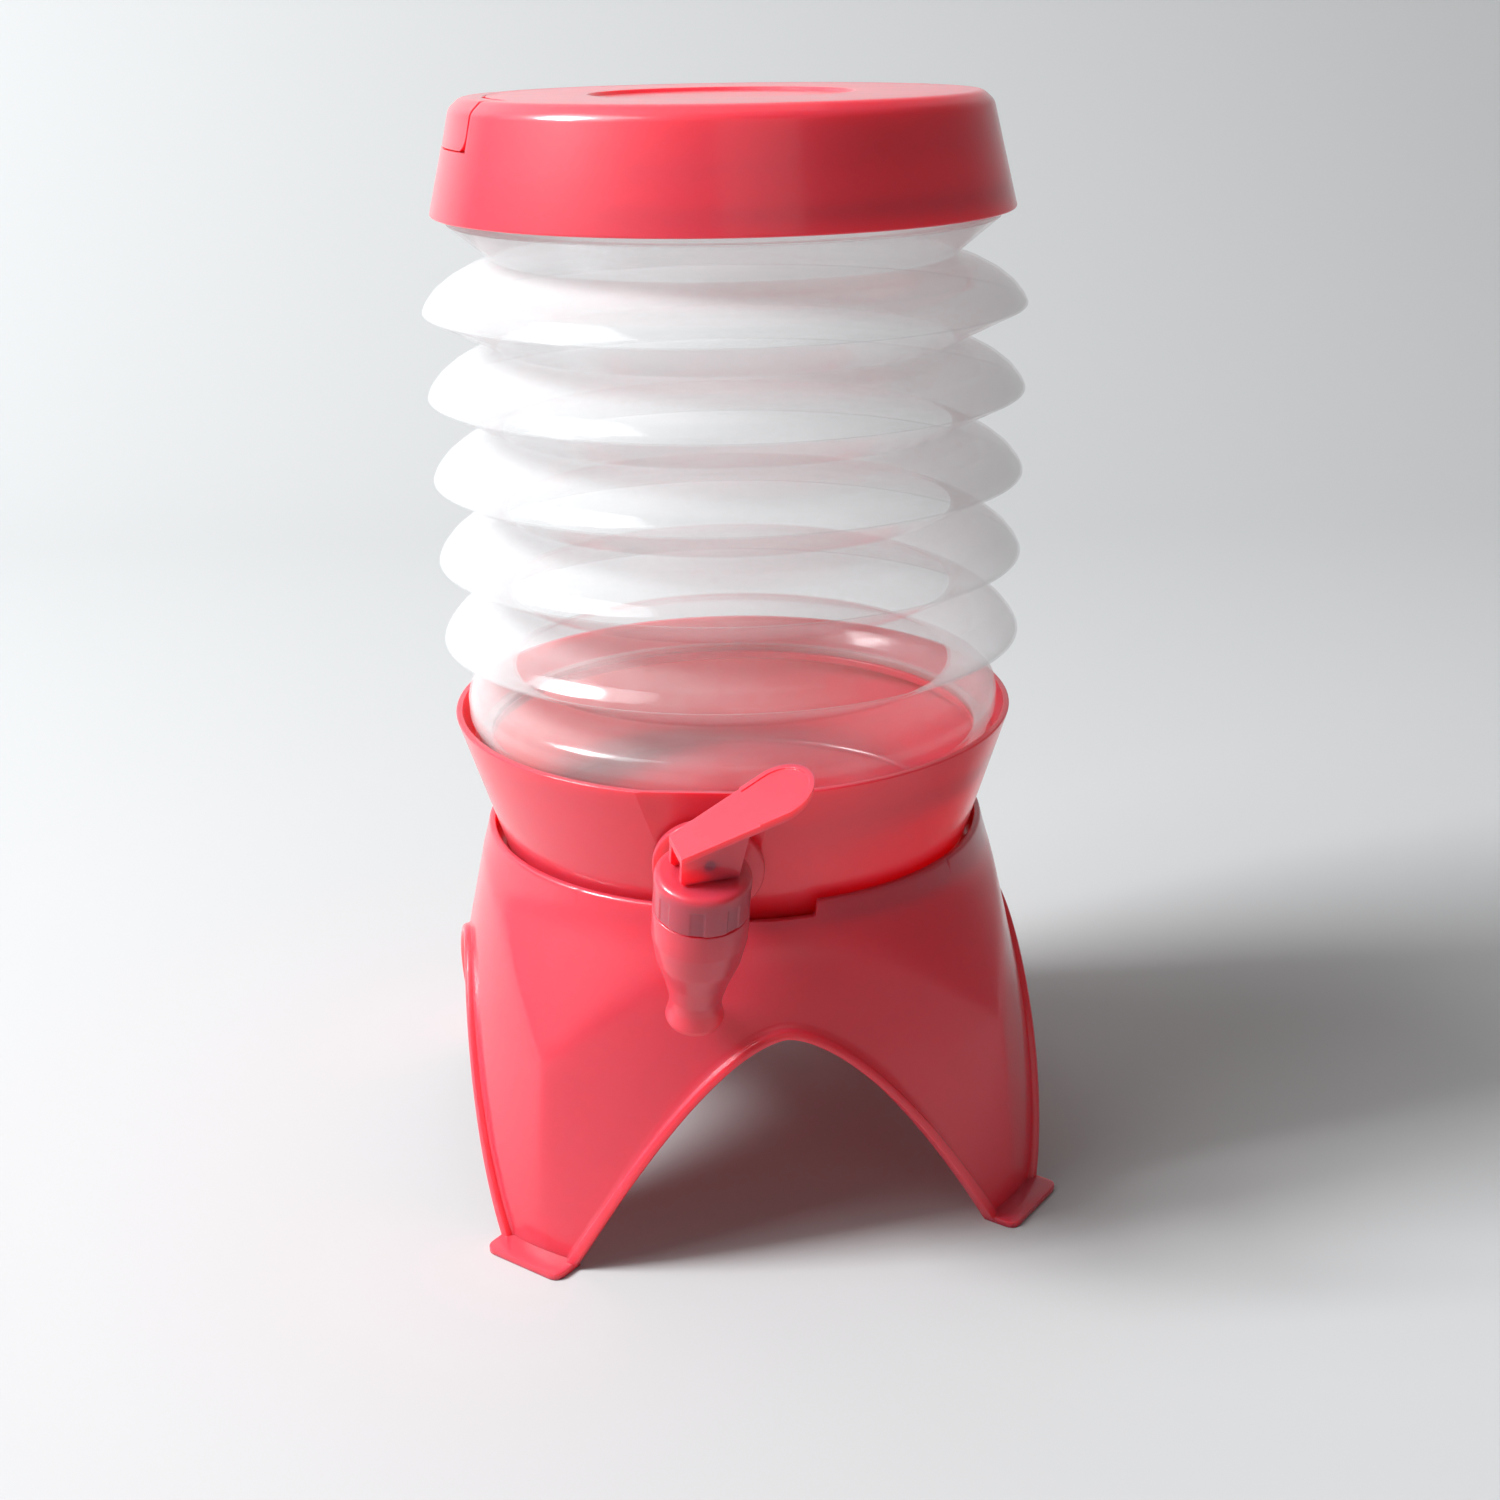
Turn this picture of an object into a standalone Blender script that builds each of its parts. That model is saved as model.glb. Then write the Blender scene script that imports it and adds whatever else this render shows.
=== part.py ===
"""Collapsible drink dispenser: stand, basin with a lever tap, clear folding bellows, screw lid.

Sizes are metres. The stand is square to the axes with its front arch towards -Y. The reservoir
stands turned on the stand, as it is seen. The origin is the middle of the whole object's
footprint, at floor level.
"""
import math

import bmesh
import bpy
import numpy as np
from mathutils import Matrix, Vector

MM = 0.001

# Stand
RIM_TOP = 125.0
RIM_CLEAR = 1.504
STAND_WALL = 2.2
CONE_SLOPE = 0.4057
FACE_SLOPE = 0.2266
SLOPE_START = 3.0
FACE_INSIDE_RIM = 0.6
FACE_CENTRE_LOW = 6.0
FACE_CENTRE_HIGH = 52.0
FACE_CENTRE_TOP = 70.0
CREASE_SHARPNESS = 60.0
RIM_BLEND = 20.0
RIM_SLOPE = 0.30
ARCH_HEIGHT = 82.0
LEG_FOOT_WIDTH = 11.07
ARCH_POWER = 1.62
LIP_WIDTH = 3.3
LIP_OUT = 2.5
LIP_EDGE = 0.8
LIP_CREST = (0.28, 0.75)
NOTCH_HALF_ANGLE = 7.5
NOTCH_DEPTH = 5.0
TAB_OUT = 10.37
TAB_SINK = 1.73
TAB_HALF_WIDTH = 16.0
TAB_THICKNESS = 2.5
TAB_CORNER = 4.0
SHELF_INNER = 60.0
SHELF_THICKNESS = 2.5
SHELF_SKIRT = 4.0

# Basin
RESERVOIR_TURN = -14.5
BASIN_HEIGHT = 50.5
BASIN_DEPTH_IN_STAND = 8.0
BASIN_RIM_RADIUS = 98.0
BASIN_SLOPE = 0.3106
BASIN_WALL = 2.2
BASIN_FLOOR_THICKNESS = 2.5
BASIN_CORNER = 3.0
BASIN_EDGE = 0.5
BASIN_EDGE_DROP = 0.6
BASIN_INNER_EDGE = 0.2
BASIN_CORNER_MID = (0.3, 0.45)
BASIN_CORNER_END = 1.4
BASIN_ROWS = (0.26, 0.45)
LEDGE_ABOVE_SHANK = 8.6
LEDGE_THICKNESS = 2.5
LEDGE_GUSSET = 2.0
LEDGE_WIDTH = 8.93
FLAT_TILT = 14.5
FLAT_INSET = 2.6
FLAT_WALL = 1.8
FLAT_LEAST_HALF_ANGLE = 4.0

# Bellows and neck
BELLOWS_WALL = 0.8
RIDGE_OVER_BASIN = 2.0
FOLD_DEPTH = 24.0
FOLDS = 5
CONE_RISE = 11.7
DOME_RISE = 16.0
DOME_LINE = ((0.14, 0.32), (0.52, 0.74))
SHOULDER_LINE = ((0.405, 0.69), (0.64, 0.32))
SHOULDER_CLEAR = 0.33
SHOULDER_RISE = 7.5
FIRST_VALLEY_RISE = 23.9
SEAL_THICKNESS = 2.2
FOOT_THICKNESS = 2.2
FOOT_CLEAR = 0.367
TOP_FOLD_OUT = 4.5
TOP_FOLD_RISE = 11.8
TOP_FOLD_STEP = 1.76
NECK_OUTER = 86.0
NECK_WALL = 2.2
NECK_FLANGE_THICKNESS = 2.0
NECK_HEIGHT = 18.4
THREAD_PITCH = 8.0
THREAD_TURN = 240.0
THREAD_HALF_HEIGHT = 1.4
THREAD_BELOW_TOP = 8.5
THREAD_SINK = 0.8
THREAD_END_REACH = 0.35
THREAD_RUNOUT = 8.0
THREAD_CREST = 0.45
NECK_THREAD_OUT = 1.6

# Lid
GASKET_THICKNESS = 2.2
GASKET_WIDTH = 4.0
GASKET_OUT = 0.5
LID_SKIRT_GAP = 2.4
LID_LAND_TO_TOP = 17.0
SKIRT_OUT = 9.4
LID_SHOULDER_OUT = 4.5
LID_SHOULDER_RISE = 0.5
LID_UPPER_OUT = 1.5
LID_FILLET = 7.5
LID_FILLET_STEPS = ((1.3, 3.0), (4.0, 0.5))
LID_TOP_FLAT_IN = 6.0
LID_WALL = 2.2
LID_BORE_CLEAR = 0.5
LID_THREAD_IN = 1.6
SKIRT_GAP_DEPTH = 7.52
RECESS_RADIUS = 42.0
RECESS_DEPTH = 1.3
RECESS_SLOPE = 1.0
LID_RING_GAP = 2.2
CAVITY_OUT = 1.5
CAVITY_ROOF = 2.5
CAVITY_END_ANGLE = 3.0

# Carry handle
HANDLE_MID_ANGLE = 125.0
GROOVE_IN = 10.8
HANDLE_IN_GROOVE = 1.0
HANDLE_WALL = 2.2
HANDLE_ROOF_IN = 5.06
HANDLE_END_BLOCK = 9.0
HANDLE_END_GAP = 1.3
PIVOT_BACK = 6.0
PIVOT_BELOW_TOP = 5.0
HANDLE_LOWER_CORNER = 5.0
HANDLE_UPPER_CORNER = 2.0
HANDLE_PIN_RADIUS = 1.6
PIN_IN_LID = 2.5
PIN_IN_HANDLE = 6.8
BOSS_WALL = 2.4
BOSS_LENGTH = 4.2
BOSS_SETBACK = 0.8

# Tap
TAP_ABOVE_BASIN_BOTTOM = 24.5
TAP_LEAN = 5.5
TAP_BEHIND_COLLAR = 14.6
SHANK_RADIUS = 5.9
SHANK_WALL = 1.9
FLANGE_WIDTH = 12.1
FLANGE_OVER_RIM = 1.5
FLANGE_THICKNESS = 3.0
OUTER_WASHER_THICKNESS = 1.0
OUTER_WASHER_WIDTH = 5.9
INNER_WASHER_THICKNESS = 1.8
INNER_WASHER_RADIUS = 8.6
NUT_THICKNESS = 6.5
NUT_WIDTH = 5.2
SHANK_PAST_NUT = 1.6
COLLAR_RADIUS = 15.4
COLLAR_TOP = 20.0
COLLAR_TOP_THICKNESS = 2.5
COLLAR_WALL = 1.7
COLLAR_FILLET = 3.0
COLLAR_GRIPS = 8
GRIP_DEPTH = 0.35
GRIP_HALF_ANGLE = 8.4
GRIP_SIDE = 0.9
GRIP_TOP = 15.0
GRIP_RUNOUT = 0.5
BODY_IN_COLLAR = 0.4
CHAMBER_WALL = 2.1
SEAT_RADIUS = 6.5
SEAT_LENGTH = 12.0
BODY_LINE = ((0.1, -3.0), (1.8, -13.7), (4.0, -20.3))
SPOUT_LINE = ((2.5, -26.5), (2.0, -30.0), (2.9, -38.4), (2.5, -40.0), (1.1, -40.0))
SEAT_LEVEL = -22.0
CHAMBER_TAPER_TOP = -8.0
STEM_RADIUS = 3.0
STEM_CHAMFER = 0.6
STEM_TOP = 29.0
STEM_BOTTOM = -19.7
PLUG_TOP = -13.5
BELL_RIM = 2.0
BELL_CLEAR = 2.5
BELL_WALL = 1.3
BELL_WAIST_SHARE = 0.7
BELL_WAIST_LEVEL = -6.0
BELL_SHOULDER_LEVEL = 2.0
BELL_WAIST_DROP = 0.6
BELL_SHOULDER_DROP = 0.4
BELL_FOOT_OUT = 0.7
PLUG_NOSE = 1.0
PLUG_STEP = 0.2
PLUG_LAND = 1.7
PIN_LEVEL = 26.0
PIN_RADIUS = 1.5
LEVER_TURN = 24.0
LEVER_REAR = 9.3
LEVER_TIP_RADIUS = 10.7
LEVER_TIP_CENTRE = 22.0
LEVER_SLOPE = 24.5
LEVER_TOP = 30.9
LEVER_THICKNESS = 2.5
LEVER_BEAD = 0.5
LEVER_BEAD_WIDTH = 1.4
CHEEK_THICKNESS = 2.0
CHEEK_BESIDE_STEM = 1.1
CHEEK_CLEAR = 0.35
PIN_SHORT = 0.2
CHEEK_FOOT_FRONT = 9.3
CHEEK_TOP_FRONT = 12.5
CHEEK_HEEL = 1.2
CHEEK_INSET = 0.15

# Fits
TOUCH = 0.3
RUNNING = 0.4

# How far a cutting body runs past what it cuts
PAST = 2.0

# Facets
NOTCH_SIDE = 0.8
HALF_PHI = [NOTCH_HALF_ANGLE, NOTCH_HALF_ANGLE + NOTCH_SIDE, 18.0, 27.0, 36.0, 45.0]
STAND_PHI = [-a for a in reversed(HALF_PHI)] + [0.0] + HALF_PHI
CORNER_LEVELS = [0.0, 0.16, 0.32, 0.48, 0.64, 0.82]
ROUND = 48
BELLOWS_ROUND = 36
TAP_ROUND = 28
SMALL_ROUND = 16
HANDLE_STEPS = 28
HANDLE_HOLLOW_STEPS = 26
GROOVE_STEPS = 40
CAVITY_STEPS = 24
FLANGE_STEPS = 24
PADDLE_STEPS = 12
THREAD_STEPS = 30
FACE_ROWS = 3

# Levels that follow from the sizes above
BASIN_BOTTOM = RIM_TOP - BASIN_DEPTH_IN_STAND
SHELF_TOP = BASIN_BOTTOM - TOUCH
BASIN_TOP = BASIN_BOTTOM + BASIN_HEIGHT
TAP_LEVEL_ON_FLAT = BASIN_BOTTOM + TAP_ABOVE_BASIN_BOTTOM
LEDGE_TOP = TAP_LEVEL_ON_FLAT + SHANK_RADIUS + LEDGE_ABOVE_SHANK
SEAL_BOTTOM = LEDGE_TOP + TOUCH
SEAL_TOP = SEAL_BOTTOM + SEAL_THICKNESS
FOOT_BOTTOM = SEAL_TOP + TOUCH
SHOULDER_LEVEL = FOOT_BOTTOM + SHOULDER_RISE
FIRST_VALLEY = FOOT_BOTTOM + FIRST_VALLEY_RISE
LAST_VALLEY = FIRST_VALLEY + FOLDS * (CONE_RISE + DOME_RISE)
BELLOWS_TOP = LAST_VALLEY + TOP_FOLD_RISE
NECK_BOTTOM = BELLOWS_TOP + TOUCH
NECK_TOP = NECK_BOTTOM + NECK_HEIGHT
GASKET_BOTTOM = NECK_TOP + TOUCH
GASKET_TOP = GASKET_BOTTOM + GASKET_THICKNESS
LID_LAND = GASKET_TOP + TOUCH
LID_TOP = LID_LAND + LID_LAND_TO_TOP
LID_SKIRT_BOTTOM = NECK_BOTTOM + LID_SKIRT_GAP
GROOVE_FLOOR = LID_LAND + LID_WALL
HANDLE_BOTTOM = GROOVE_FLOOR + TOUCH
PIVOT_LEVEL = LID_TOP - PIVOT_BELOW_TOP
COLLAR_BOTTOM = SHANK_RADIUS + TOUCH

# Radii that follow from the basin's rim
TILT = math.radians(FLAT_TILT)
BASIN_INSET = BASIN_WALL * math.sqrt(1.0 + BASIN_SLOPE ** 2)
FLAT_INSIDE = FLAT_WALL / math.cos(TILT)


def basin_radius(level):
    return BASIN_RIM_RADIUS - BASIN_SLOPE * (BASIN_TOP - level)


def flat_distance(level):
    return BASIN_RIM_RADIUS - FLAT_INSET - math.tan(TILT) * (BASIN_TOP - level)


LEDGE_INNER = basin_radius(LEDGE_TOP) - LEDGE_WIDTH
FOOT_OUTER = flat_distance(LEDGE_TOP) - FLAT_INSIDE - FOOT_CLEAR
RIDGE_RADIUS = BASIN_RIM_RADIUS + RIDGE_OVER_BASIN
VALLEY_RADIUS = RIDGE_RADIUS - FOLD_DEPTH
SHOULDER_RADIUS = flat_distance(SHOULDER_LEVEL) - FLAT_INSIDE - SHOULDER_CLEAR
RIM_INSET = STAND_WALL * math.sqrt(1.0 + RIM_SLOPE ** 2)
RIM_RADIUS = basin_radius(RIM_TOP) + RIM_CLEAR + RIM_INSET
FACE_START_RADIUS = RIM_RADIUS - FACE_INSIDE_RIM

# Radii that follow from the neck
TOP_FOLD_RADIUS = NECK_OUTER + TOP_FOLD_OUT
LID_BORE = NECK_OUTER + NECK_THREAD_OUT + LID_BORE_CLEAR
LID_SKIRT_RADIUS = NECK_OUTER + SKIRT_OUT
LID_SHOULDER_RADIUS = NECK_OUTER + LID_SHOULDER_OUT
LID_UPPER_RADIUS = NECK_OUTER + LID_UPPER_OUT
LID_TOP_FLAT_RADIUS = NECK_OUTER - LID_TOP_FLAT_IN
LID_FRONT_CAVITY = LID_TOP_FLAT_RADIUS + CAVITY_OUT
GROOVE_INNER = NECK_OUTER - GROOVE_IN
HANDLE_INNER = GROOVE_INNER + HANDLE_IN_GROOVE
HANDLE_PIN_INNER = GROOVE_INNER - PIN_IN_LID
HANDLE_PIN_OUTER = HANDLE_INNER + PIN_IN_HANDLE

# Sizes of the tap that follow from its collar, its shank and its stem
TAP_REACH = COLLAR_RADIUS + TAP_BEHIND_COLLAR
BODY_RADIUS = COLLAR_RADIUS - BODY_IN_COLLAR
CHAMBER_RADIUS = COLLAR_RADIUS - COLLAR_WALL - TOUCH - CHAMBER_WALL
BELL_THROAT = CHAMBER_RADIUS - BELL_CLEAR
SHANK_BORE = SHANK_RADIUS - SHANK_WALL
FLANGE_RADIUS = SHANK_RADIUS + FLANGE_WIDTH
FLANGE_FLAT = TAP_LEVEL_ON_FLAT - RIM_TOP - FLANGE_OVER_RIM
OUTER_WASHER_RADIUS = SHANK_RADIUS + OUTER_WASHER_WIDTH
NUT_RADIUS = SHANK_RADIUS + NUT_WIDTH
LEVER_REAR_HALF_WIDTH = STEM_RADIUS + CHEEK_BESIDE_STEM + CHEEK_THICKNESS


def smoothstep(t):
    t = min(1.0, max(0.0, t))
    return t * t * (3.0 - 2.0 * t)


# Mesh helpers

def finish(name, verts, faces, material, parent, origin, smooth_angle):
    """Make one object whose mesh is given in its parent's frame and whose origin is set apart."""
    mesh = bpy.data.meshes.new(name)
    centre = Vector(origin)
    mesh.from_pydata([Vector(v) * MM - centre * MM for v in verts], [], faces)
    bm = bmesh.new()
    bm.from_mesh(mesh)
    bmesh.ops.remove_doubles(bm, verts=bm.verts, dist=0.00001)
    bmesh.ops.recalc_face_normals(bm, faces=bm.faces)
    bm.to_mesh(mesh)
    bm.free()
    node = bpy.data.objects.new(name, mesh)
    bpy.context.scene.collection.objects.link(node)
    node.parent = parent
    node.location = centre * MM
    if material is not None:
        mesh.materials.append(material)
    if smooth_angle:
        mesh.shade_smooth()
        mesh.set_sharp_from_angle(angle=math.radians(smooth_angle))
    return node


def revolve(profile, segments):
    """Turn a closed outline of (radius, height) about Z."""
    verts = []
    rows = []
    for radius, height in profile:
        if radius < 1e-6:
            rows.append([len(verts)])
            verts.append((0.0, 0.0, height))
        else:
            rows.append(list(range(len(verts), len(verts) + segments)))
            for k in range(segments):
                angle = 2.0 * math.pi * k / segments
                verts.append((radius * math.cos(angle), radius * math.sin(angle), height))
    return verts, skin(rows, True)


def skin(rows, closed):
    """Faces between neighbouring rings of vertex numbers; a ring of one is a pole."""
    faces = []
    pairs = list(zip(rows, rows[1:]))
    if closed:
        pairs.append((rows[-1], rows[0]))
    for low, high in pairs:
        count = max(len(low), len(high))
        if count == 1:
            continue
        for k in range(count):
            n = (k + 1) % count
            if len(low) == 1:
                faces.append((low[0], high[n], high[k]))
            elif len(high) == 1:
                faces.append((low[k], low[n], high[0]))
            else:
                faces.append((low[k], low[n], high[n], high[k]))
    return faces


def loft(rings):
    """Closed body from rings of points; the first and the last are poles."""
    verts = []
    rows = []
    for ring in rings:
        rows.append(list(range(len(verts), len(verts) + len(ring))))
        verts.extend(ring)
    return verts, skin(rows, False)


def sector(outline, start, stop, steps):
    """Sweep a closed outline of (radius, height) from one angle to another, with capped ends."""
    verts = []
    rows = []
    for k in range(steps + 1):
        angle = math.radians(start + (stop - start) * k / steps)
        rows.append(list(range(len(verts), len(verts) + len(outline))))
        for radius, height in outline:
            verts.append((radius * math.cos(angle), radius * math.sin(angle), height))
    faces = skin(rows, False)
    faces.append(tuple(reversed(rows[0])))
    faces.append(tuple(rows[-1]))
    return verts, faces


def prism(outline, low, high, axis):
    """Extrude a closed outline of two coordinates along one axis."""
    verts = []
    for level in (low, high):
        for a, b in outline:
            verts.append({"x": (level, a, b), "y": (a, level, b), "z": (a, b, level)}[axis])
    count = len(outline)
    faces = [tuple(range(count)), tuple(range(2 * count - 1, count - 1, -1))]
    for k in range(count):
        n = (k + 1) % count
        faces.append((k, k + count, n + count, n))
    return verts, faces


def helix_rib(inner, outer, level, start, turn, half_height, steps):
    """One wedge-ended thread rib that climbs anticlockwise."""
    verts = []
    rows = []
    for k in range(steps + 1):
        part = k / steps
        angle = math.radians(start + turn * part)
        rise = level + THREAD_PITCH * turn * part / 360.0
        ends = smoothstep(min(part, 1.0 - part) * THREAD_RUNOUT)
        reach = inner + (outer - inner) * (THREAD_END_REACH + (1.0 - THREAD_END_REACH) * ends)
        foot = half_height
        tip = half_height * THREAD_CREST
        rows.append(list(range(len(verts), len(verts) + 4)))
        for radius, height in ((inner, -foot), (reach, -tip), (reach, tip), (inner, foot)):
            verts.append((radius * math.cos(angle), radius * math.sin(angle), rise + height))
    faces = skin(rows, False)
    faces.append(tuple(reversed(rows[0])))
    faces.append(tuple(rows[-1]))
    return verts, faces


def move(shape, matrix):
    verts, faces = shape
    return [tuple(matrix @ Vector(v)) for v in verts], faces


def rod(radius, low, high, segments, matrix):
    """Round rod along Z, then placed."""
    return move(revolve([(0.0, low), (radius, low), (radius, high), (0.0, high)], segments), matrix)


def combine(node, shapes, operation):
    """Add or take away closed shapes, each given in the parent's frame."""
    for shape in shapes:
        verts, faces = shape
        tool = finish("tool", verts, faces, None, node.parent, (0.0, 0.0, 0.0), 0)
        step = node.modifiers.new("step", "BOOLEAN")
        step.operation = operation
        step.solver = "EXACT"
        step.object = tool
        bpy.context.view_layer.update()
        graph = bpy.context.evaluated_depsgraph_get()
        result = bpy.data.meshes.new_from_object(node.evaluated_get(graph))
        node.modifiers.clear()
        old = node.data
        node.data = result
        result.name = node.name
        bpy.data.meshes.remove(old)
        bpy.data.objects.remove(tool)
    return node


def sharpen(node, angle):
    node.data.shade_smooth()
    node.data.set_sharp_from_angle(angle=math.radians(angle))


def principled(name, colour, roughness, metallic, transmission):
    material = bpy.data.materials.new(name)
    material.use_nodes = True
    shader = material.node_tree.nodes["Principled BSDF"]
    shader.inputs["Base Color"].default_value = (*colour, 1.0)
    shader.inputs["Roughness"].default_value = roughness
    shader.inputs["Metallic"].default_value = metallic
    shader.inputs["Transmission Weight"].default_value = transmission
    return material


def empty(name, parent, location, rotation):
    frame = bpy.data.objects.new(name, None)
    bpy.context.scene.collection.objects.link(frame)
    frame.parent = parent
    frame.location = Vector(location) * MM
    frame.rotation_euler = rotation
    return frame


# Stand surface

def face_radius(phi, level):
    below = RIM_TOP + SLOPE_START - level
    reach = FACE_START_RADIUS + FACE_SLOPE * below
    share = min(1.0, level / FACE_CENTRE_TOP)
    behind = FACE_CENTRE_LOW + (FACE_CENTRE_HIGH - FACE_CENTRE_LOW) * share
    circle = reach + behind
    return -behind * math.cos(phi) + math.sqrt(circle ** 2 - (behind * math.sin(phi)) ** 2)


def stand_radius(phi, level):
    """Outer radius at an angle from a face's middle (radians) and a level."""
    folded = (phi + math.pi / 4.0) % (math.pi / 2.0) - math.pi / 4.0
    cone = FACE_START_RADIUS + CONE_SLOPE * (RIM_TOP + SLOPE_START - level)
    terms = (cone, face_radius(folded, level), face_radius(math.pi / 2.0 - abs(folded), level))
    soft = sum(t ** -CREASE_SHARPNESS for t in terms) ** (-1.0 / CREASE_SHARPNESS)
    rim = smoothstep((level - (RIM_TOP - RIM_BLEND)) / RIM_BLEND)
    return (1.0 - rim) * soft + rim * (RIM_RADIUS + RIM_SLOPE * (RIM_TOP - level))


CORNER_REACH = stand_radius(math.pi / 4.0, 0.0)
ARCH_HALF_WIDTH = CORNER_REACH * math.sin(math.pi / 4.0) - LEG_FOOT_WIDTH
TAB_REACH = CORNER_REACH + TAB_OUT
TAB_INNER = CORNER_REACH - TAB_SINK


def stand_inset(phi, level, wall):
    """How far in from the outer radius the inner side of a wall lies."""
    step = 0.002
    radius = stand_radius(phi, level)
    change = stand_radius(phi + step, level) - stand_radius(phi - step, level)
    turn = change / (2.0 * step * radius)
    rise = stand_radius(phi, level + 0.5) - stand_radius(phi, level - 0.5)
    return wall * math.sqrt(1.0 + turn ** 2 + rise ** 2)


def angle_at(across, level):
    phi = math.asin(max(-0.7071, min(0.7071, across / RIM_RADIUS / 1.1)))
    for _ in range(40):
        ratio = across / stand_radius(phi, level)
        phi = 0.5 * phi + 0.5 * math.asin(max(-0.70711, min(0.70711, ratio)))
    return phi


def arch_height(across):
    return ARCH_HEIGHT * (1.0 - (abs(across) / ARCH_HALF_WIDTH) ** ARCH_POWER)


def arch_normal(across, level):
    """Direction square to the arch's edge, away from the opening."""
    if level == 0.0:
        return Vector((math.copysign(1.0, across), 0.0))
    bend = (abs(across) / ARCH_HALF_WIDTH) ** (ARCH_POWER - 1.0)
    lean = ARCH_HEIGHT * ARCH_POWER / ARCH_HALF_WIDTH * bend
    return Vector((math.copysign(lean, across) if across else 0.0, 1.0)).normalized()


def arch_share(across, level):
    """How far along the line from the arch's base centre to a point the arch's edge lies."""
    low, high = 0.0, 1.0
    for _ in range(50):
        mid = 0.5 * (low + high)
        if arch_height(mid * across) > mid * level:
            low = mid
        else:
            high = mid
    return 0.5 * (low + high)


def stand_columns(front):
    """Outer ends of one face's columns: up the corner, round the rim, down the other corner."""
    quarter = math.pi / 4.0
    columns = [(-quarter, share * RIM_TOP) for share in CORNER_LEVELS]
    for degrees in STAND_PHI:
        notched = front and abs(degrees) <= NOTCH_HALF_ANGLE
        columns.append((math.radians(degrees), RIM_TOP - (NOTCH_DEPTH if notched else 0.0)))
    columns.extend((quarter, share * RIM_TOP) for share in reversed(CORNER_LEVELS))
    return columns


def stand_shape():
    """Shell of the four faces, meeting at the corners, with a bead round each arch."""
    band = [(0.0, LIP_EDGE * LIP_OUT)]
    band.extend((share * LIP_WIDTH, LIP_OUT) for share in LIP_CREST)
    band.append((LIP_WIDTH, 0.0))
    verts = []
    faces = []
    for face in range(4):
        middle = math.radians(-90.0 + 90.0 * face)
        outer_grid = []
        inner_grid = []
        for phi_out, top in stand_columns(face == 0):
            across = stand_radius(phi_out, top) * math.sin(phi_out)
            share = arch_share(across, top)
            edge_x, edge_z = share * across, share * top
            normal = arch_normal(edge_x, edge_z)
            points = [(edge_x + normal.x * w, edge_z + normal.y * w, bump, None) for w, bump in band]
            base_x, base_z = points[-1][0], points[-1][1]
            for k in range(1, FACE_ROWS + 1):
                part = k / FACE_ROWS
                last = phi_out if k == FACE_ROWS else None
                x = base_x + (across - base_x) * part
                z = base_z + (top - base_z) * part
                points.append((x, z, 0.0, last))
            outer = []
            inner = []
            for x, z, bump, known in points:
                phi = angle_at(x, z) if known is None else known
                radius = stand_radius(phi, z)
                inset = stand_inset(phi, z, STAND_WALL)
                for grid, r in ((outer, radius + bump), (inner, radius - inset)):
                    grid.append(len(verts))
                    verts.append((r * math.cos(middle + phi), r * math.sin(middle + phi), z))
            outer_grid.append(outer)
            inner_grid.append(inner)
        last_row = len(outer_grid[0]) - 1
        rim_first = len(CORNER_LEVELS)
        rim_last = rim_first + len(STAND_PHI) - 1
        for k in range(len(outer_grid) - 1):
            out, out_next = outer_grid[k], outer_grid[k + 1]
            ins, ins_next = inner_grid[k], inner_grid[k + 1]
            for j in range(last_row):
                faces.append((out[j], out_next[j], out_next[j + 1], out[j + 1]))
                faces.append((ins[j], ins[j + 1], ins_next[j + 1], ins_next[j]))
            faces.append((out[0], ins[0], ins_next[0], out_next[0]))
            if rim_first <= k < rim_last:
                faces.append((out[last_row], out_next[last_row], ins_next[last_row], ins[last_row]))
        for k in (0, len(outer_grid) - 1):
            out, ins = outer_grid[k], inner_grid[k]
            for j in range(last_row):
                faces.append((out[j], out[j + 1], ins[j + 1], ins[j]))
    return verts, faces


def shelf_shape():
    """Flat ring inside the rim that the basin stands on, with a short skirt at its inner edge."""
    low = SHELF_TOP - SHELF_THICKNESS
    count = ROUND

    def wall(level, k):
        phi = 2.0 * math.pi * k / count
        return stand_radius(phi, level) - 0.5 * stand_inset(phi, level, STAND_WALL)

    inner = SHELF_INNER
    lip = SHELF_INNER + STAND_WALL
    rings = [(inner, low - SHELF_SKIRT), (lip, low - SHELF_SKIRT), (lip, low), (None, low),
             (None, SHELF_TOP), (inner, SHELF_TOP)]
    verts = []
    rows = []
    for radius, level in rings:
        rows.append(list(range(len(verts), len(verts) + count)))
        for k in range(count):
            angle = 2.0 * math.pi * k / count
            r = wall(level, k) if radius is None else radius
            verts.append((r * math.cos(angle), r * math.sin(angle), level))
    return verts, skin(rows, True)


def tab_shape(turn):
    """Foot tab: a small plate with rounded outer corners on one diagonal."""
    outline = [(TAB_INNER, -TAB_HALF_WIDTH), (TAB_REACH - TAB_CORNER, -TAB_HALF_WIDTH)]
    for centre, start in ((-TAB_HALF_WIDTH + TAB_CORNER, -90.0), (TAB_HALF_WIDTH - TAB_CORNER, 0.0)):
        for k in range(5):
            angle = math.radians(start + 22.5 * k)
            outline.append((TAB_REACH - TAB_CORNER + TAB_CORNER * math.cos(angle),
                            centre + TAB_CORNER * math.sin(angle)))
    outline.append((TAB_INNER, TAB_HALF_WIDTH))
    tidy = [outline[0]]
    for point in outline[1:]:
        if math.dist(point, tidy[-1]) > 1e-6:
            tidy.append(point)
    return move(prism(tidy, 0.0, TAB_THICKNESS, "z"), Matrix.Rotation(math.radians(turn), 4, "Z"))


# Basin

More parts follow.
